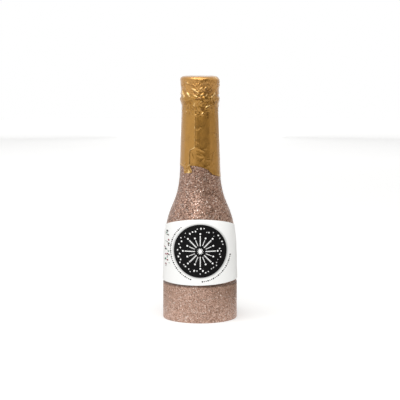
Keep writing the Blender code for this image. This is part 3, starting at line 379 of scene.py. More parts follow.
# One grain runs through all of a finish: it mixes the two colours, and where these are given it spreads the
# roughness and lifts the surface. The scale is in grains a metre, and a bump is its strength and its depth
# in millimetres. What over adds lies on top of the grain.
def grained_finish(name, colours, scale, detail, rough, bump=None, distortion=0.0, stretch=(1.0, 1.0, 1.0),
                   fixed=None, over=None):
    finish, add, shader = start_finish(name)
    where = add("ShaderNodeTexCoord").outputs["Object"]
    drawn = add("ShaderNodeMapping", {"Vector": where, "Scale": stretch})
    grain = add("ShaderNodeTexNoise",
                {"Vector": drawn, "Scale": scale, "Detail": detail, "Distortion": distortion})
    first, second = colours
    tone = add("ShaderNodeMix", {0: grain, 6: linear(first), 7: linear(second)}, data_type="RGBA")
    if isinstance(rough, tuple):
        rough = add("ShaderNodeMapRange", {"Value": grain, "To Min": rough[0], "To Max": rough[1]})
    if bump:
        relief = add("ShaderNodeBump", {"Height": grain, "Strength": bump[0], "Distance": bump[1] * MM})
        set_inputs(shader, {"Normal": relief})
    printed = over(add, where, tone) if over else tone
    set_inputs(shader, {"Base Color": printed, "Roughness": rough, **(fixed or {})})
    return finish


# Paper shows a soft tangle of fibres. Printing ink lies on it in a matt, faintly mottled film.
def paper_finish(name, white, shade, fibre_mm):
    return grained_finish(name, (white, shade), 1.0 / (fibre_mm * MM), 5.0, 0.6, bump=(0.2, 0.04))


def ink_finish(name, colour, speck):
    return grained_finish(name, (colour, speck), 1400.0, 3.0, 0.5, fixed={"Specular IOR Level": 0.08})


dress("underside_sticker", paper_finish("sticker_paper", "#F2F1EE", "#E4E2DC", 0.9))

ARROW_RADIUS = 20.0
ARROW_WIDTH = 2.4
ARROW_FIRST_DEG = 25.0
ARROW_LAST_DEG = 300.0
ARROW_HEAD = 4.2
ARROW_HEAD_DEG = 5.0
ARROW_INK = 0.03
ARROW_HEIGHT = 0.2
arrow = start_piece("sticker_turn_arrow", bpy.ops.mesh.primitive_grid_add, x_subdivisions=60,
                    y_subdivisions=1, size=1.0)
for vertex in arrow.data.vertices:
    turn = math.radians(ARROW_FIRST_DEG + (ARROW_LAST_DEG - ARROW_FIRST_DEG) * (vertex.co.x + 0.5))
    reach = (ARROW_RADIUS + ARROW_WIDTH * vertex.co.y) * MM
    vertex.co = (reach * math.cos(turn), reach * math.sin(turn), 0.0)
edit_mesh("DESELECT")
tip_turn = math.radians(ARROW_LAST_DEG + ARROW_HEAD_DEG)
tip_place = (ARROW_RADIUS * MM * math.cos(tip_turn), ARROW_RADIUS * MM * math.sin(tip_turn), 0.0)
bpy.ops.mesh.primitive_circle_add(vertices=3, radius=ARROW_HEAD * MM, fill_type="NGON", location=tip_place,
                                  rotation=(0.0, 0.0, tip_turn))
edit_mesh("SELECT")
bpy.ops.mesh.extrude_region_move(TRANSFORM_OT_translate={"value": (0.0, 0.0, ARROW_INK * MM)})
edit_mesh("SELECT")
bpy.ops.transform.translate(value=(0.0, 0.0, ARROW_HEIGHT * MM))
bpy.ops.mesh.normals_make_consistent(inside=False)
leave_edit()
arrow.data.materials.append(ink_finish("grey_sticker_ink", "#4A4A4C", "#57575A"))
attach(arrow, "base")


# Cam, carrier and ring
# The turning parts inside the base. The cam and the snap ring are moulded in milky, waxy acetal. The
# carrier that rides up the cam's ramps is of glass-filled nylon, duller and a little grainy, and so is the
# seat that the return spring stands on.
dress("cam_ring", moulded_finish("white_acetal_cam", "#E6E4DC", "#DAD7CD", 0.38, 0.35))
dress("retaining_ring", moulded_finish("natural_acetal_ring", "#DEDCD3", "#EAE8E0", 0.36, 0.35))
dress("cylinder_carrier", moulded_finish("grey_glass_filled_nylon", "#6E7073", "#7C7E80", 0.52, 0.25))
dress("spring_seat", moulded_finish("black_nylon_seat", "#2B2B2D", "#363638", 0.5, 0.25))


# Air cartridge
# A drawn aluminium bottle of compressed air with a turned brass valve screwed into its neck. A rubber O-ring
# seals the valve's nozzle in the breech, and a steel poppet with a rubber washer closes it from inside.
def turned_finish(name, colour, shade, line_mm, roughness):
    return grained_finish(name, (shade, colour), 1.0 / (line_mm * MM), 4.0,
                          (roughness - 0.08, roughness + 0.1), bump=(0.3, 0.02),
                          stretch=(0.03, 0.03, 1.0), fixed={"Metallic": 1.0})


# Satin aluminium with the fine rings that drawing leaves, lathe-turned brass and steel with sharper rings,
# and matt nitrile rubber with a faint grey bloom.
dress("air_cylinder", turned_finish("drawn_aluminium", "#CDD0D2", "#AEB2B6", 0.5, 0.34))
dress("valve_body", turned_finish("turned_brass", "#D9B46A", "#B98F45", 0.25, 0.26))
turned_steel = turned_finish("turned_stainless_steel", "#C9CACB", "#9A9C9E", 0.2, 0.24)
dress("valve_poppet", turned_steel)
dress("depressor_pin", turned_steel)
dress("spring_retainer", moulded_finish("white_acetal_retainer", "#E3E1D9", "#D6D3C9", 0.4, 0.3))
nitrile = grained_finish("black_nitrile_rubber", ("#1B1B1C", "#2E2E30"), 500.0, 4.0, (0.55, 0.8))
dress("nozzle_o_ring", nitrile)
dress("valve_washer", nitrile)


# Springs
# Coil springs wound cold from drawn steel wire, with a dead turn closed at each end. The large one presses
# the air cartridge down and the small one keeps its valve shut.
TURN_FACES = 28
WIRE_SIDES = 8
DEAD_TURN = 0.85


def wind_spring(node, wire, turns):
    low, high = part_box(node)
    coil_radius = high.x / MM - wire
    bottom, top = low.z / MM + wire, high.z / MM - wire
    spring = start_piece(node + "_coil", bpy.ops.mesh.primitive_grid_add, x_subdivisions=TURN_FACES * turns,
                         y_subdivisions=WIRE_SIDES, size=1.0)
    for vertex in spring.data.vertices:
        wound = (vertex.co.x + 0.5) * turns
        around = math.tau * (vertex.co.y + 0.5)
        share = min(max((wound - DEAD_TURN) / (turns - 2 * DEAD_TURN), 0.0), 1.0)
        reach = (coil_radius + wire * math.cos(around)) * MM
        height = (bottom + (top - bottom) * share + wire * math.sin(around)) * MM
        vertex.co = (reach * math.cos(math.tau * wound), reach * math.sin(math.tau * wound), height)
    edit_mesh("SELECT")
    bpy.ops.mesh.remove_doubles(threshold=1e-6)
    bpy.ops.mesh.fill_holes(sides=0)
    edit_mesh("SELECT")
    bpy.ops.mesh.normals_make_consistent(inside=False)
    leave_edit()
    bpy.ops.object.shade_smooth_by_angle(angle=math.radians(50.0))
    spring.data.materials.append(drawn_steel)
    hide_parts(node)
    return spring, low.z, high.z


# Drawn spring steel: a grey mirror, dulled along the wire by the fine scratches of the drawing die.
drawn_steel = grained_finish("drawn_spring_steel", ("#8F9296", "#C4C6C8"), 1800.0, 3.0, (0.22, 0.42),
                             fixed={"Metallic": 1.0})
spring, bottom, top = wind_spring("return_spring", 0.6, 4)
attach(spring, "bottle")
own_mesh(spring)
spring, bottom, top = wind_spring("valve_spring", 0.25, 6)
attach(spring, "cartridge")
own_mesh(spring)


# Bottle shell
# The bottle's moulded wall, with the same glitter coat from the seam to under the neck foil. Inside it
# is the bare wall, and below the seam the skirt that the base turns on.
SEAM = 36.5
SEAM_RADIUS = 35.1
SHOULDER_FOOT = 56.0
BODY_RADIUS = 34.8
SHOULDER_PULL = 61.0
NECK_FOOT = 146.0
NECK_FOOT_RADIUS = 18.95
NECK_PULL = 46.0
NECK_TOP = 199.0
NECK_TOP_RADIUS = 17.15
RIM = 216.2
RIM_RADIUS = 17.35
RING_HEIGHT = 210.6
RING_RISE = 1.15
RING_BELOW = 7.0
RING_ABOVE = 3.6
SHELL_WALL = 1.6
BORE_RADIUS = 15.7
SKIRT_FOOT = 8.0
SKIRT_GROOVE = 32.6
SKIRT_TOP = 40.0
WALL_FOOT = 44.0
COAT_FOOT = 36.8
COAT_TOP = 152.0


def shoulder(share):
    left = 1.0 - share
    weights = (left**3, 3 * left**2 * share, 3 * left * share**2, share**3)
    slope = (NECK_FOOT_RADIUS - NECK_TOP_RADIUS) / (NECK_TOP - NECK_FOOT)
    heights = (SHOULDER_FOOT, SHOULDER_FOOT + SHOULDER_PULL, NECK_FOOT - NECK_PULL, NECK_FOOT)
    radii = (BODY_RADIUS, BODY_RADIUS, NECK_FOOT_RADIUS + NECK_PULL * slope, NECK_FOOT_RADIUS)
    return tuple(sum(weight * value for weight, value in zip(weights, row)) for row in (heights, radii))


def follow(line, along):
    after = min(max(bisect.bisect_left(line, (along,)), 1), len(line) - 1)
    (first, start), (second, end) = line[after - 1:after + 1]
    return start + (end - start) * (along - first) / (second - first)


BODY = [(SEAM, SEAM_RADIUS)] + [shoulder(index / 400) for index in range(401)]
BODY += [(NECK_TOP, NECK_TOP_RADIUS), (RIM, RIM_RADIUS)]


def shell_radius(height):
    reach = RING_BELOW if height < RING_HEIGHT else RING_ABOVE
    share = min(max(1.0 - abs(height - RING_HEIGHT) / reach, 0.0), 1.0)
    return follow(BODY, height) + RING_RISE * 0.5 * (1.0 - math.cos(math.pi * share))


skirt_outer = BASE_INNER - GAP
skirt_inner = skirt_outer - SHELL_WALL
outline = [(skirt_inner, SKIRT_FOOT), (skirt_outer, SKIRT_FOOT), (skirt_outer, SLOT_FOOT)]
outline += [(SKIRT_GROOVE, SLOT_FOOT), (SKIRT_GROOVE, SLOT_TOP)]
outline += [(skirt_outer, SLOT_TOP), (skirt_outer, SEAM)]
coat = spaced(SEAM, COAT_TOP - 2.0, 109) + spaced(COAT_TOP + 2.0, RIM, 18)
outline += [(shell_radius(height), height) for height in coat]
bare = spaced(RIM, WALL_FOOT, 30)
outline += [(max(BORE_RADIUS, shell_radius(height) - SHELL_WALL), height) for height in bare]
outline.append((skirt_inner, SKIRT_TOP))
shell_wall = spin_outline("bottle_shell_wall", outline, ROUND_STEPS)


def in_shell_coat(radius, height):
    return COAT_FOOT < height < COAT_TOP and radius > shell_radius(height) - COAT_DEPTH


jog_flakes(shell_wall, in_shell_coat, 12)
shell_glitter = glitter_finish("rose_gold_glitter_shell", "#C49F8D", "#634839", 0.44, 0.82, 220.0)
shell_wall.data.materials.append(shell_glitter)
shell_wall.data.materials.append(bare_rose_abs)
for face in shell_wall.data.polygons:
    reach = math.hypot(face.center.x, face.center.y) / MM
    height = face.center.z / MM
    face.material_index = int(height < SEAM or reach < shell_radius(height) - COAT_DEPTH)
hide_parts("bottle_shell")
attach(shell_wall, "bottle")


# Breech block and launch tube
# The breech closes the shell above the air cartridge: an ABS moulding that holds the pin and carries the
# tube. The tube is kraft paper wound in a spiral, glued and cut to length.
dress("breech_block", moulded_finish("black_abs_breech", "#2A2A2C", "#343437", 0.42, 0.3))

# Kraft paper: brown and fibrous, with a darker line where each turn of the strip meets the next.
TURN_RISE = 26.0
SEAM_SHARE = 0.03


def wound_seam(add, where, kraft):
    axes = add("ShaderNodeSeparateXYZ", {0: where}).outputs
    turned = add("ShaderNodeMath", {0: axes["Y"], 1: axes["X"]}, operation="ARCTAN2")
    share = add("ShaderNodeMath", {0: turned, 1: math.tau}, operation="DIVIDE")
    risen = add("ShaderNodeMath",
                {0: axes["Z"], 1: 1.0 / (TURN_RISE * MM), 2: share}, operation="MULTIPLY_ADD")
    strip = add("ShaderNodeMath", {0: risen}, operation="FRACT")
    line = add("ShaderNodeMapRange",
               {"Value": strip, "From Min": 0.0, "From Max": SEAM_SHARE, "To Min": 1.0, "To Max": 0.0})
    return add("ShaderNodeMix", {0: line, 6: kraft, 7: linear("#7E6243")}, data_type="RGBA")


dress("launch_tube", grained_finish("spiral_wound_kraft", ("#A98762", "#C3A27C"), 700.0, 5.0, 0.75,
                                    bump=(0.35, 0.06), over=wound_seam))


# Pusher wad
# A disc punched from thick grey wool felt. It seals the tube under the load and pushes it out. Its edges are
# a little soft and its faces are fuzzy.
low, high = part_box("pusher_wad")
wad_radius, wad_bottom, wad_top = high.x / MM, low.z / MM, high.z / MM
WAD_EDGE = 0.9
outline = [(radius, wad_bottom) for radius in spaced(0.0, wad_radius - WAD_EDGE, 12)]
outline += arc((wad_radius - WAD_EDGE, wad_bottom + WAD_EDGE), WAD_EDGE, -90.0, 0.0, 4)[1:]
outline += [(wad_radius, height) for height in spaced(wad_bottom + WAD_EDGE, wad_top - WAD_EDGE, 5)[1:]]
outline += arc((wad_radius - WAD_EDGE, wad_top - WAD_EDGE), WAD_EDGE, 0.0, 90.0, 4)[1:]
outline += [(radius, wad_top) for radius in spaced(wad_radius - WAD_EDGE, 0.0, 12)[1:]]
wad = spin_outline("pusher_wad_felt", outline, 72)
edit_mesh("SELECT")
bpy.ops.transform.vertex_random(offset=0.08 * MM, uniform=1.0, normal=0.0, seed=6)
leave_edit()

felt = grained_finish("grey_wool_felt", ("#75726C", "#A5A29B"), 900.0, 6.0, 0.95, bump=(0.7, 0.15),
                      distortion=1.5, fixed={"Sheen Weight": 0.3})
wad.data.materials.append(felt)
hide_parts("pusher_wad")
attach(wad, "load")


# Slip stacks
# The confetti: slips cut from gold film, rose film and white tissue, piled and packed on edge in two tiers.
# One slip is modelled and copied, each copy a little turned and shifted as a hand packs them.
SLIP_THICKNESS = 0.16
SLIPS_PER_STACK = 20
SLIP_SLACK = 0.5

low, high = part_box("gold_slips_lower")
slip_size = [(top - bottom) / MM for bottom, top in zip(low, high)]
slip = start_piece("slip", bpy.ops.mesh.primitive_grid_add, x_subdivisions=4, y_subdivisions=4, size=1.0)
for vertex in slip.data.vertices:
    wave = 0.05 * math.sin(9.0 * vertex.co.x + 4.0) + 0.04 * math.cos(7.0 * vertex.co.y)
    vertex.co = (vertex.co.x * (slip_size[0] - SLIP_SLACK) * MM, wave * MM,
                 vertex.co.y * (slip_size[2] - SLIP_SLACK) * MM)
leaf = slip.modifiers.new("leaf", "SOLIDIFY")
leaf.thickness = SLIP_THICKNESS * MM
leaf.offset = 0.0
bpy.ops.object.modifier_apply(modifier=leaf.name)


def slip_stack(node, body_turn, seed):
    low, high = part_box(node)
    center = [(bottom + top) / 2 for bottom, top in zip(low, high)]
    thickness = min(high.x - low.x, high.y - low.y)
    pitch = (thickness - 2 * SLIP_THICKNESS * MM) / (SLIPS_PER_STACK - 1)
    dice = random.Random(seed)
    bpy.ops.object.select_all(action="DESELECT")
    for index in range(SLIPS_PER_STACK):
        copied = slip.copy()
        copied.data = slip.data.copy()
        off = (index - (SLIPS_PER_STACK - 1) / 2) * pitch
        aside = 0.12 * MM * dice.uniform(-1.0, 1.0)
        shift = (aside, off) if body_turn == 0.0 else (off, aside)
        copied.location = (center[0] + shift[0], center[1] + shift[1],
                           center[2] + 0.15 * MM * dice.uniform(-1.0, 1.0))
        copied.rotation_euler = (0.0, math.radians(0.15 * dice.uniform(-1.0, 1.0)), math.radians(body_turn))
        bpy.context.scene.collection.objects.link(copied)
        copied.select_set(True)
        bpy.context.view_layer.objects.active = copied
    bpy.ops.object.join()
    bpy.ops.object.transform_apply(location=True, rotation=True, scale=True)
    stack = bpy.context.object
    stack.name = stack.data.name = node + "_pile"
    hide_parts(node)
    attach(stack, "load")
    return stack


# Metallised film is a thin coloured mirror with faint handling waves. Tissue is matt and a little cloudy.
def film_finish(name, colour, shade):
    return grained_finish(name, (shade, colour), 260.0, 3.0, (0.16, 0.34), bump=(0.3, 0.2),
                          fixed={"Metallic": 1.0})


slip_finishes = {
    "gold": film_finish("gold_metallised_film", "#D9AE5E", "#B98A3D"),
    "rose": film_finish("rose_metallised_film", "#D9A494", "#B67E6E"),
    "white": paper_finish("white_tissue", "#F4F3F0", "#E6E4E0", 1.2),
}
for tier, body_turn in (("lower", 0.0), ("upper", 90.0)):
    for seed, (tone, finish) in enumerate(slip_finishes.items()):
        stack = slip_stack(f"{tone}_slips_{tier}", body_turn, 30 + seed)
        stack.data.materials.append(finish)
bpy.data.objects.remove(slip)


# Cover disc and mouth cap
# A grey board disc keeps the slips in the tube. The cap that closes the mouth under the foil is moulded in
# white polyethylene and pushed in by hand.
dress("cover_disc", paper_finish("grey_board_disc", "#B9B2A6", "#A69E91", 0.5))
dress("mouth_cap", moulded_finish("white_polyethylene_cap", "#ECEBE6", "#E1DFD9", 0.45, 0.4))


# Foil sleeve
# Thin gold-lacquered aluminium foil, wrapped once round the neck by hand. Its outer end laps over the
# inner one left of the front, its lower edge is cut by eye, and it is crushed where it meets the cap.
FOIL_EDGE = -14.5
FOIL_LAP = 22.0
FOIL = 0.14
DEEPEST_PIT = -0.2
MM_PER_DEGREE = 0.32
HEM = ((0, 141.9), (5, 141.3), (30, 140.4), (33, 141.6), (36, 146.3), (50, 147.3), (68, 147.8),
       (105, 145.0), (150, 141.0), (190, 139.4), (225, 137.4), (258, 136.0), (283, 137.0), (309, 139.6),
       (320, 143.2), (327, 145.0), (343, 146.9), (359, 147.9), (382, 148.3))


def smooth(share):
    share = min(max(share, 0.0), 1.0)
    return share * share * (3.0 - 2.0 * share)


# Each ridge is (angle, height, angle, height, rise, half width), in degrees from the front and mm. A rise
# below nothing is a pit, as a thumb leaves. The strong ones are listed one by one, and short ones are strewn
# where the hand crushed the foil.
ridges = [
    (-66, 218.8, -54, 212.8, 0.95, 1.3), (-43, 217.2, -32, 213.4, 0.95, 0.9),
    (-26.5, 221.1, -3.5, 216.8, 0.85, 0.9), (-21, 215.2, -9, 212.8, 0.75, 0.8),
    (1, 213.9, 9, 215.5, 0.60, 0.7), (15, 213.5, 21.5, 215.3, 0.62, 0.65),
    (35, 211.8, 50, 216.8, 0.80, 0.9), (13, 220.4, 21.5, 222.4, 0.70, 0.8),
    (-1.5, 220.3, 8, 221.7, 0.65, 0.8), (17, 202.6, 30, 205, 0.80, 0.8),
    (4, 197, 12.5, 198.4, 0.65, 0.8), (-48, 199.8, -41.5, 198.1, 0.65, 0.9),
    (-24, 205.6, -14, 203.6, 0.50, 0.7), (-5, 206.2, 1, 207.2, 0.45, 0.6),
    (3, 208.4, 9, 209.2, 0.40, 0.6), (-17, 200.8, -9.5, 199.4, 0.50, 0.7),
    (-9, 198.8, -3, 198, 0.50, 0.6), (-17, 196.4, -11, 195.4, 0.45, 0.7),
    (-33.5, 204.6, -29.4, 201.4, 0.45, 0.8), (-41, 204, -37, 206, 0.40, 0.7),
    (-45, 226.6, -31, 224.9, 0.55, 0.9), (-24, 225.2, -13, 222.6, 0.50, 0.7),
    (-12, 225.4, -4, 223.2, 0.45, 0.6), (-2, 222.8, 3.5, 224.6, 0.40, 0.6),
    (-13, 211, 9, 211.4, -0.75, 1.3), (-28, 224, -15, 223, -0.5, 0.9),
    (-4, 223.8, 4, 223.4, -0.5, 0.8), (18, 218.6, 38, 218, -0.5, 1.5),
    (-18, 217, -12, 216.4, -0.6, 0.8), (16, 205.9, 24, 205.3, -0.5, 0.8),
    (0, 201.8, 12, 200.6, -0.6, 1.2), (-33, 208, -24, 206, -0.4, 1),
    (-29, 162.6, -14, 165.8, 0.50, 0.6), (-14, 165.8, 12, 161.8, 0.28, 0.7),
    (-25, 160, -20, 155, 0.36, 0.6), (-20, 155, -26, 149.5, 0.36, 0.6),
    (41, 160.5, 37, 149.5, 0.30, 0.6), (-14, 184, -8, 182, 0.34, 0.5),
    (-8, 182, 2, 184.5, 0.30, 0.5), (-13, 171.5, -6, 170, 0.34, 0.5),
    (48, 178.5, 51, 176.5, 0.34, 0.6),
]
# Each row is a patch of strewn strokes: how many, the angles, the heights, and the rise of the highest.
STROKES = (
    (60, -80, 80, 196, 229, 0.42), (60, 80, 280, 196, 229, 0.45),
    (9, -14, 8, 150, 188, 0.24), (18, 12, 85, 142, 158, 0.24),
    (16, -50, -20, 140.5, 149.5, 0.55),
)
dice = random.Random(21)
for count, first_angle, last_angle, first_height, last_height, rise in STROKES:
    for _ in range(count):
        start_angle = dice.uniform(first_angle, last_angle)
        start_height = dice.uniform(first_height, last_height)
        smooth_pit = abs(start_angle) < 28.0 and 206.5 < start_height < 216.0
        plain_side = 68.0 < abs(start_angle) < 112.0 and 207.0 < start_height < 222.0
        if smooth_pit or plain_side:
            continue
        lean = math.radians(dice.uniform(-65.0, 65.0))
        stroke = dice.uniform(1.5, 4.5)
        ridges.append((start_angle, start_height, start_angle + stroke * math.cos(lean) / MM_PER_DEGREE,
                       start_height + stroke * math.sin(lean), rise * dice.uniform(0.5, 1.0),
                       dice.uniform(0.4, 0.65)))
RIDGE_REACH = 3.0
ridges_near = {}
for ridge in ridges:
    low, high = sorted((ridge[1], ridge[3]))
    for level in range(int(low - RIDGE_REACH), int(high + RIDGE_REACH) + 1):
        ridges_near.setdefault(level, []).append(ridge)


def ridge_rise(angle, height):
    total = pit = 0.0
    for first_angle, first_height, last_angle, last_height, rise, width in ridges_near.get(int(height), ()):
        aside = (angle - first_angle + 180.0) % 360.0 - 180.0
        if abs(aside) > 45.0:
            continue
        along = ((last_angle - first_angle) * MM_PER_DEGREE, last_height - first_height)
        away = (aside * MM_PER_DEGREE, height - first_height)
        share = (away[0] * along[0] + away[1] * along[1]) / (along[0] ** 2 + along[1] ** 2)
        share = min(max(share, 0.0), 1.0)
        off = math.hypot(away[0] - share * along[0], away[1] - share * along[1]) / width
        if off < RIDGE_REACH:
            swell = rise * math.exp(-(off**2)) * (0.45 + 0.55 * math.sin(math.pi * share) ** 0.5)
            total = max(total, swell)
            pit = min(pit, swell)
    return total, pit


def facets(place, size, seed):
    near = noise.voronoi(Vector(place) / size + Vector((seed, seed, seed)))[0]
    return near[1] - near[0]


def crushing(angle, height):
    wrapped = (angle + 180.0) % 360.0 - 180.0
    middle = -5.0 - 20.0 * smooth((208.0 - height) / 8.0)
    around = 0.28 + 0.24 * math.exp(-(((wrapped - middle) / 36.0) ** 2))
    above = smooth((height - 190.0) / 10.0)
    below_ring = 0.1 * math.exp(-(((height - 204.0) / 6.0) ** 2))
    near_edge = math.exp(-(((wrapped + 33.0) / 13.0) ** 2))
    at_hem = (0.14 + 0.6 * near_edge) * math.exp(-(((height - 144.0) / 7.0) ** 2))
    by_lap = 0.05 * math.exp(-(((wrapped + 2.0) / 12.0) ** 2)) * smooth((188.0 - height) / 6.0)
    return max(0.05, (around + below_ring) * above + (at_hem + by_lap) * (1.0 - above))


def foil_relief(angle, height):
    turn = math.radians(angle)
    place = (18.0 * math.sin(turn), -18.0 * math.cos(turn), height)
    flat = (place[0], place[1], height * 0.75)
    soft = 0.2 * noise.noise(Vector((place[0] * 0.22, place[1] * 0.22, height * 0.03)))
    amount = crushing(angle, height)
    crushed = 1.15 * facets(flat, 5.6, 1.7) + 0.55 * facets(flat, 2.6, 4.1) + 0.10 * facets(flat, 1.2, 8.3)
    rise, pit = ridge_rise(angle, height)
    calm = (1.0 + 0.8 * pit) * (1.0 - 0.8 * min(rise / 0.5, 1.0))
    return soft + amount * calm * (crushed - 0.55) + rise


def drape(name, columns, rows, place):
    piece = start_piece(name, bpy.ops.mesh.primitive_grid_add, x_subdivisions=columns, y_subdivisions=rows,
                        size=1.0)
    for vertex in piece.data.vertices:
        angle, radius, height = place(vertex.co.x + 0.5, vertex.co.y + 0.5)
        turn = math.radians(angle)
        vertex.co = (radius * math.sin(turn) * MM, -radius * math.cos(turn) * MM, height * MM)
    return piece


def thicken(piece, thickness):
    bpy.ops.object.select_all(action="DESELECT")
    piece.select_set(True)
    bpy.context.view_layer.objects.active = piece
    edit_mesh("SELECT")
    bpy.ops.mesh.remove_doubles(threshold=2e-6)
    leave_edit()
    wall = piece.modifiers.new("wall", "SOLIDIFY")
    wall.thickness = thickness * MM
    wall.offset = -1.0
    bpy.ops.object.modifier_apply(modifier=wall.name)
    bpy.ops.object.shade_smooth_by_angle(angle=math.radians(32.0))


def edge_cut(height):
    notch = 16.0 * smooth((165.5 - height) / 3.5)
    return notch - 8.0 * smooth((150.0 - height) / 8.0) + 0.8 * noise.noise(Vector((height * 0.3, 1.0, 7.0)))


def sleeve_place(across, up):
    turned = (360.0 + FOIL_LAP) * (1.0 - across)
    hem = follow(HEM, turned) + 0.25 * noise.noise(Vector((turned * 0.22, 0.0, 5.0)))
    height = hem + (RIM - GAP - hem) * up
    angle = FOIL_EDGE - turned - edge_cut(height) * max(0.0, 1.0 - turned / 50.0)
    over = 1.0 - smooth((turned - FOIL_LAP) / 18.0)
    lip = 0.30 * math.exp(-turned / 5.0) * smooth((200.0 - height) / 10.0)
    bead = 0.12 * math.exp(-(((turned - 2.0) / 1.6) ** 2))
    edge = 0.12 * math.exp(-(height - hem) / 0.8)
    radius = shell_radius(height) + 0.4 + 0.25 * over + lip + bead + edge
    relief = foil_relief(angle, height)
    return angle, radius + max(relief, DEEPEST_PIT), height


def mark_relief_and_painted_light(piece):
    marks = piece.data.attributes.new("relief_and_painted_light", "FLOAT", "POINT")
    crush = piece.data.attributes.new("crushed", "FLOAT", "POINT")
    for vertex, mark, crushed in zip(piece.data.vertices, marks.data, crush.data):
        angle = math.degrees(math.atan2(vertex.co.x, -vertex.co.y))
        height = min(vertex.co.z / MM, 230.0)
        aside = abs(math.sin(math.radians(angle)))
        # Painted highlights, added to the relief mark: paler bands on the ring and on the hem towards the
        # sides, a bright line along the lap edge, and a pale top rim.
        painted_ring_highlight = (0.10 + 0.16 * aside) * smooth((height - 202.0) / 5.0) * smooth((217.0 - height) / 3.0)
        above_hem = height - follow(HEM, (FOIL_EDGE - angle) % 360.0)
        painted_hem_highlight = 0.50 * math.exp(-(((above_hem - 1.4) / 1.6) ** 2)) * aside
        past_edge = angle - FOIL_EDGE + edge_cut(height) + 1.2
        painted_edge_highlight = 0.58 * math.exp(-((past_edge / 1.3) ** 2)) * smooth((203.0 - height) / 6.0)
        painted_edge_highlight *= 0.7 + 0.9 * noise.noise(Vector((height * 0.35, 3.0, 1.0)))
        rim_reach = math.hypot(vertex.co.x, vertex.co.y) / MM
        painted_rim_highlight = 0.34 * smooth((height - 228.0) / 2.0) * smooth((rim_reach - 12.5) / 3.0)
        pale = painted_ring_highlight + painted_edge_highlight + painted_rim_highlight + painted_hem_highlight
        mark.value = foil_relief(angle, height) + ridge_rise(angle, height)[1] + pale
        crushed.value = crushing(angle, height) * smooth((227.0 - height) / 4.0)


sleeve = drape("foil_sleeve_wrap", 290, 140, sleeve_place)
mark_relief_and_painted_light(sleeve)
thicken(sleeve, FOIL)


# Gold-lacquered aluminium foil: a warm mirror, slightly brushed by the rolling mill. Its colour is painted
# darker and redder in the valleys of the creases as painted shade, and pale on their crests and on the
# marked bands as painted highlight.
def foil_finish(name, colour, painted_highlight_colour, painted_shade_colour):
    finish, add, shader = start_finish(name)
    where = add("ShaderNodeTexCoord").outputs["Object"]
    relief_and_painted_light, crushed = [add("ShaderNodeAttribute", attribute_name=mark).outputs["Fac"]
                       for mark in ("relief_and_painted_light", "crushed")]
    # Painted shade in the valleys (deep) and painted highlight on the crests and marked bands (high).
    deep = add("ShaderNodeMapRange",
               {"Value": relief_and_painted_light, "From Min": -0.45, "From Max": -0.1, "To Min": 1.0, "To Max": 0.0},
               interpolation_type="SMOOTHSTEP")
    high = add("ShaderNodeMapRange",
               {"Value": relief_and_painted_light, "From Min": 0.28, "From Max": 0.7}, interpolation_type="SMOOTHSTEP")
    lower = add("ShaderNodeMix", {0: deep, 6: linear(colour), 7: linear(painted_shade_colour)}, data_type="RGBA")
    upper = add("ShaderNodeMix", {0: high, 6: lower, 7: linear(painted_highlight_colour)}, data_type="RGBA")
    cloud = add("ShaderNodeTexNoise", {"Vector": where, "Scale": 160.0, "Detail": 4.0})
    lacquer, rough = [add("ShaderNodeMapRange",
                          {"Value": cloud, "From Min": 0.3, "From Max": 0.7,
                           "To Min": least, "To Max": most})
                      for least, most in ((0.92, 1.08), (0.26, 0.38))]
    tint = add("ShaderNodeVectorMath", {0: upper, "Scale": lacquer}, operation="SCALE")
    dulled = add("ShaderNodeMath", {0: deep, 1: 0.3, 2: rough}, operation="MULTIPLY_ADD")
    facet = add("ShaderNodeTexVoronoi",
                {"Vector": where, "Scale": 1.0 / (4.6 * MM)}, feature="DISTANCE_TO_EDGE")
    crinkle = add("ShaderNodeMath", {0: facet, 1: crushed}, operation="MULTIPLY")
    folded = add("ShaderNodeBump", {"Height": crinkle, "Strength": 0.35, "Distance": 2.0 * MM})
    rolling = add("ShaderNodeMapping", {"Vector": where, "Scale": (1.0, 1.0, 0.12)})
    grain = add("ShaderNodeTexNoise", {"Vector": rolling, "Scale": 1600.0, "Detail": 3.0})
    bump = add("ShaderNodeBump",
               {"Height": grain, "Strength": 0.12, "Distance": 0.05 * MM, "Normal": folded})
    set_inputs(shader, {"Base Color": tint, "Roughness": dulled, "Metallic": 1.0, "Coat Weight": 0.5,
                        "Coat Roughness": 0.2, "Normal": bump})
    return finish


sleeve_foil = foil_finish("gold_lacquered_foil_sleeve", "#AF803A", "#F5CF8C", "#8C622A")
sleeve.data.materials.append(sleeve_foil)
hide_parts("foil_sleeve")
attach(sleeve, "bottle")


# Foil over the cap
# The same foil pressed over the cap: gathered into the notch under it, smoothed up the side and folded
# flat on top. Its gathered hem stands just outside the sleeve's top edge, so that the two look like one.
HEAD_TOP = 231.5
HEAD_RADIUS = 18.2
HEAD_FILLET = 3.8
HEAD_STANDOFF = 0.55
side = [(18.42, 215.0), (18.36, 215.6), (18.2, 216.2), (18.1, 216.9)]
side += [(18.05 + 0.6 * smooth((height - 217.5) / 10.0), height) for height in spaced(217.4, 227.4, 24)]
corner_place = (HEAD_RADIUS - HEAD_FILLET, HEAD_TOP - HEAD_FILLET)
side += arc(corner_place, HEAD_FILLET + HEAD_STANDOFF, 0.0, 90.0, 13)[1:]
side += [(radius, HEAD_TOP + HEAD_STANDOFF) for radius in spaced(HEAD_RADIUS - HEAD_FILLET, 0.0, 24)[1:]]


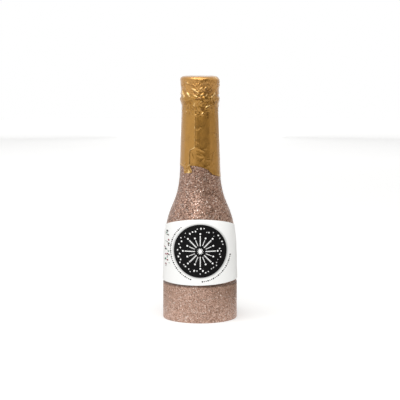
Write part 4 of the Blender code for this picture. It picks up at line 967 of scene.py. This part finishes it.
def head_place(across, up):
    angle = 360.0 * across
    spot = up * (len(side) - 1)
    index = min(int(spot), len(side) - 2)
    share = spot - index
    radius = side[index][0] + (side[index + 1][0] - side[index][0]) * share
    height = side[index][1] + (side[index + 1][1] - side[index][1]) * share
    turn = math.radians(angle)
    on_top = smooth((height - 228.5) / 2.5)
    relief = foil_relief(angle, min(height, 230.0))
    inner = smooth(radius / 14.0)
    spoke = facets((radius * math.sin(turn) * 0.5, radius * math.cos(turn) * 0.5, 50.0), 3.2, 6.0) - 0.4
    height += on_top * 0.30 * inner * spoke
    hem = max(0.0, 216.0 - height)
    height -= hem * 0.35 * noise.noise(Vector((math.sin(turn) * 5.0, math.cos(turn) * 5.0, 9.0)))
    at_corner = math.exp(-(((height - 230.6) / 1.8) ** 2)) * smooth((radius - 12.0) / 4.0)
    corner = -0.5 * at_corner * math.sin(turn)
    tight = max(corner, 0.0) + 0.5 * min(corner, 0.0)
    return angle, radius + tight + (1.0 - on_top) * max(relief, DEEPEST_PIT), height + 0.4 * tight


head = drape("foil_head_cover", 290, 130, head_place)
mark_relief_and_painted_light(head)
thicken(head, FOIL)
head_foil = foil_finish("gold_lacquered_foil_head", "#BB8A48", "#F5CF8C", "#976B33")
head.data.materials.append(head_foil)
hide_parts("foil_head")
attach(head, "cap")


# Paper label
# A white self-adhesive paper label, wrapped round the front of the body. Its upper edge is cut in an arch
# and its lower edge stands a little proud of the base below it.
LABEL_BOTTOM = 36.45
LABEL_HALF = 105.0
LABEL_SIDE_TOP = 89.4
LABEL_ARCH = 9.0
LABEL_FLARE = 0.55
FLARE_HEIGHT = 30.0
LABEL_THICKNESS = 0.24
ROUNDEL_X = 0.25
ROUNDEL_Z = 68.8
ROUNDEL_RADIUS = 25.0
ROUNDEL_GLOW = 2.2


def label_radius(height):
    flare = max(0.0, 1.0 - (height - LABEL_BOTTOM) / FLARE_HEIGHT)
    return shell_radius(height) + 2 * GAP + LABEL_FLARE * flare**2


def smoothed_ends(angle, height):
    standing = label_radius(height) - shell_radius(height) - 0.36
    return standing * smooth((abs(angle) - 90.0) / 12.0)


def label_place(across, up):
    angle = LABEL_HALF * (2.0 * across - 1.0)
    turn = math.radians(angle)
    top = LABEL_SIDE_TOP + LABEL_ARCH * math.cos(turn)
    bottom = LABEL_BOTTOM + 1.6 * math.sin(turn) ** 2 + 0.65 * math.sin(turn)
    height = bottom + (top - bottom) * up
    curl = -smoothed_ends(angle, height) + 0.04 * noise.noise(Vector((angle * 0.05, height * 0.08, 2.0)))
    return angle, label_radius(height) + curl, height


label = drape("paper_label_sheet", 150, 70, label_place)
thicken(label, LABEL_THICKNESS)


# Coated label paper: bright white with a faint warm cast and a soft satin surface. The printed disc has
# a thin grey glow round it, which belongs to the print.
def disc_glow(add, where, white):
    flat = add("ShaderNodeVectorMath", {0: where, 1: (1.0, 0.0, 1.0)}, operation="MULTIPLY")
    away = add("ShaderNodeVectorMath",
               {0: flat, 1: (ROUNDEL_X * MM, 0.0, ROUNDEL_Z * MM)}, operation="DISTANCE")
    glow = add("ShaderNodeMapRange",
               {"Value": away, "From Min": ROUNDEL_RADIUS * MM,
                "From Max": (ROUNDEL_RADIUS + ROUNDEL_GLOW) * MM, "To Min": 0.62, "To Max": 0.0},
               interpolation_type="SMOOTHSTEP")
    return add("ShaderNodeMix", {0: glow, 6: white, 7: linear("#8C8C8C")}, data_type="RGBA")


label.data.materials.append(grained_finish("coated_label_paper", ("#F6F6F4", "#FAFAF8"), 900.0, 5.0, 0.55,
                                           bump=(0.15, 0.03), over=disc_glow))
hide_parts("paper_label")
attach(label, "bottle")


# Label print
# Flat ink shapes on the paper: a black disc with a burst of white confetti, two arcs of small dots that
# follow it, and a drift of coloured confetti at the left edge.
INK = 0.02
DISC_LIFT = 0.03
BURST_LIFT = 0.07
DISC_BANDS = 14
DISC_BAND = 1.6


def lay_on_label(piece, lift):
    for vertex in piece.data.vertices:
        across, height = vertex.co.x / MM, vertex.co.y / MM
        reach = label_radius(height) + lift
        vertex.co = (vertex.co.x, -math.sqrt(reach**2 - across**2) * MM, height * MM)
    skin = piece.modifiers.new("ink", "SOLIDIFY")
    skin.thickness = INK * MM
    skin.offset = 1.0
    bpy.ops.object.modifier_apply(modifier=skin.name)


def start_print(name):
    piece = start_piece(name, bpy.ops.mesh.primitive_circle_add, vertices=6, radius=MM)
    edit_mesh("SELECT")
    bpy.ops.mesh.delete(type="VERT")
    return piece


def ink_spot(across, height, size, sides=12, turn=0.0, stretch=1.0):
    place = (across * MM, height * MM, 0.0)
    bpy.ops.mesh.select_all(action="DESELECT")
    bpy.ops.mesh.primitive_circle_add(vertices=sides, radius=size * MM, fill_type="NGON", location=place)
    if stretch != 1.0:
        bpy.ops.transform.resize(value=(1.0, stretch, 1.0), center_override=place)
    if turn:
        bpy.ops.transform.rotate(value=math.radians(turn), orient_axis="Z", center_override=place)


def finish_print(piece, lift, ink):
    leave_edit()
    lay_on_label(piece, lift)
    piece.data.materials.append(ink)
    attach(piece, "bottle")


roundel = start_piece("label_roundel", bpy.ops.mesh.primitive_circle_add, vertices=144,
                      radius=ROUNDEL_RADIUS * MM, fill_type="NGON")
edit_mesh("SELECT")
for _ in range(DISC_BANDS):
    bpy.ops.mesh.inset(thickness=DISC_BAND * MM, depth=0.0)
bpy.ops.mesh.poke()
edit_mesh("SELECT")
bpy.ops.transform.translate(value=(ROUNDEL_X * MM, ROUNDEL_Z * MM, 0.0))
black_ink = ink_finish("black_label_ink", "#0B0B0C", "#161617")
finish_print(roundel, DISC_LIFT, black_ink)

white_ink = ink_finish("white_label_ink", "#F4F4F2", "#FAFAF9")
burst = start_print("label_burst")
dice = random.Random(5)
RAYS = 16
RAY_SQUARES = 8
RIM_SPECKS = 44


def round_disc(reach, angle):
    return ROUNDEL_X + reach * math.sin(angle), ROUNDEL_Z + reach * math.cos(angle)


for index in range(RAYS):
    angle = math.tau * index / RAYS
    first, last = (5.6, 11.4) if index % 2 else (5.0, 14.6)
    half = 0.5 * (last - first) / RAY_SQUARES
    for step in range(RAY_SQUARES):
        reach = first + (last - first) * (step + 0.5) / RAY_SQUARES
        ink_spot(*round_disc(reach, angle), half, 4, -math.degrees(angle), 1.45)
    ink_spot(*round_disc(last + 1.8, angle), 0.85)
for index in range(5):
    ink_spot(ROUNDEL_X, ROUNDEL_Z, 3.2, 4, 36.0 * index, 0.42)
for index in range(RIM_SPECKS):
    angle = math.tau * (index + 0.35 * dice.random()) / RIM_SPECKS
    reach = 18.4 + 3.9 * dice.random()
    ink_spot(*round_disc(reach, angle), 0.55 + 0.45 * dice.random(), dice.choice((3, 4, 12)),
             120.0 * dice.random(), 0.8)
finish_print(burst, BURST_LIFT, white_ink)

dots = start_print("label_dot_arcs")
for first, last, reach, count in ((199.0, 320.0, 28.2, 33), (100.0, 176.0, 28.8, 22)):
    for index, angle in enumerate(spaced(first, last, count)):
        size = 0.55 if index % 3 else 0.75
        ink_spot(*round_disc(reach, math.radians(angle)), size, 8)
finish_print(dots, DISC_LIFT, black_ink)

DRIFT_SPECKS = 9
for tone, colour, speck, seed in (("green", "#1F6B52", "#2A7A5E", 2), ("red", "#7A2133", "#8A2C3C", 3),
                                  ("dark", "#26262A", "#333338", 4)):
    drift = start_print(f"label_drift_{tone}")
    dice = random.Random(seed)
    for index in range(DRIFT_SPECKS):
        ink_spot(-33.6 + 4.4 * dice.random(), 52.0 + 34.0 * (index + dice.random()) / DRIFT_SPECKS,
                 0.7 + 0.45 * dice.random(), dice.choice((3, 4, 10)), 90.0 * dice.random(), 0.75)
    finish_print(drift, DISC_LIFT, ink_finish(f"{tone}_label_ink", colour, speck))
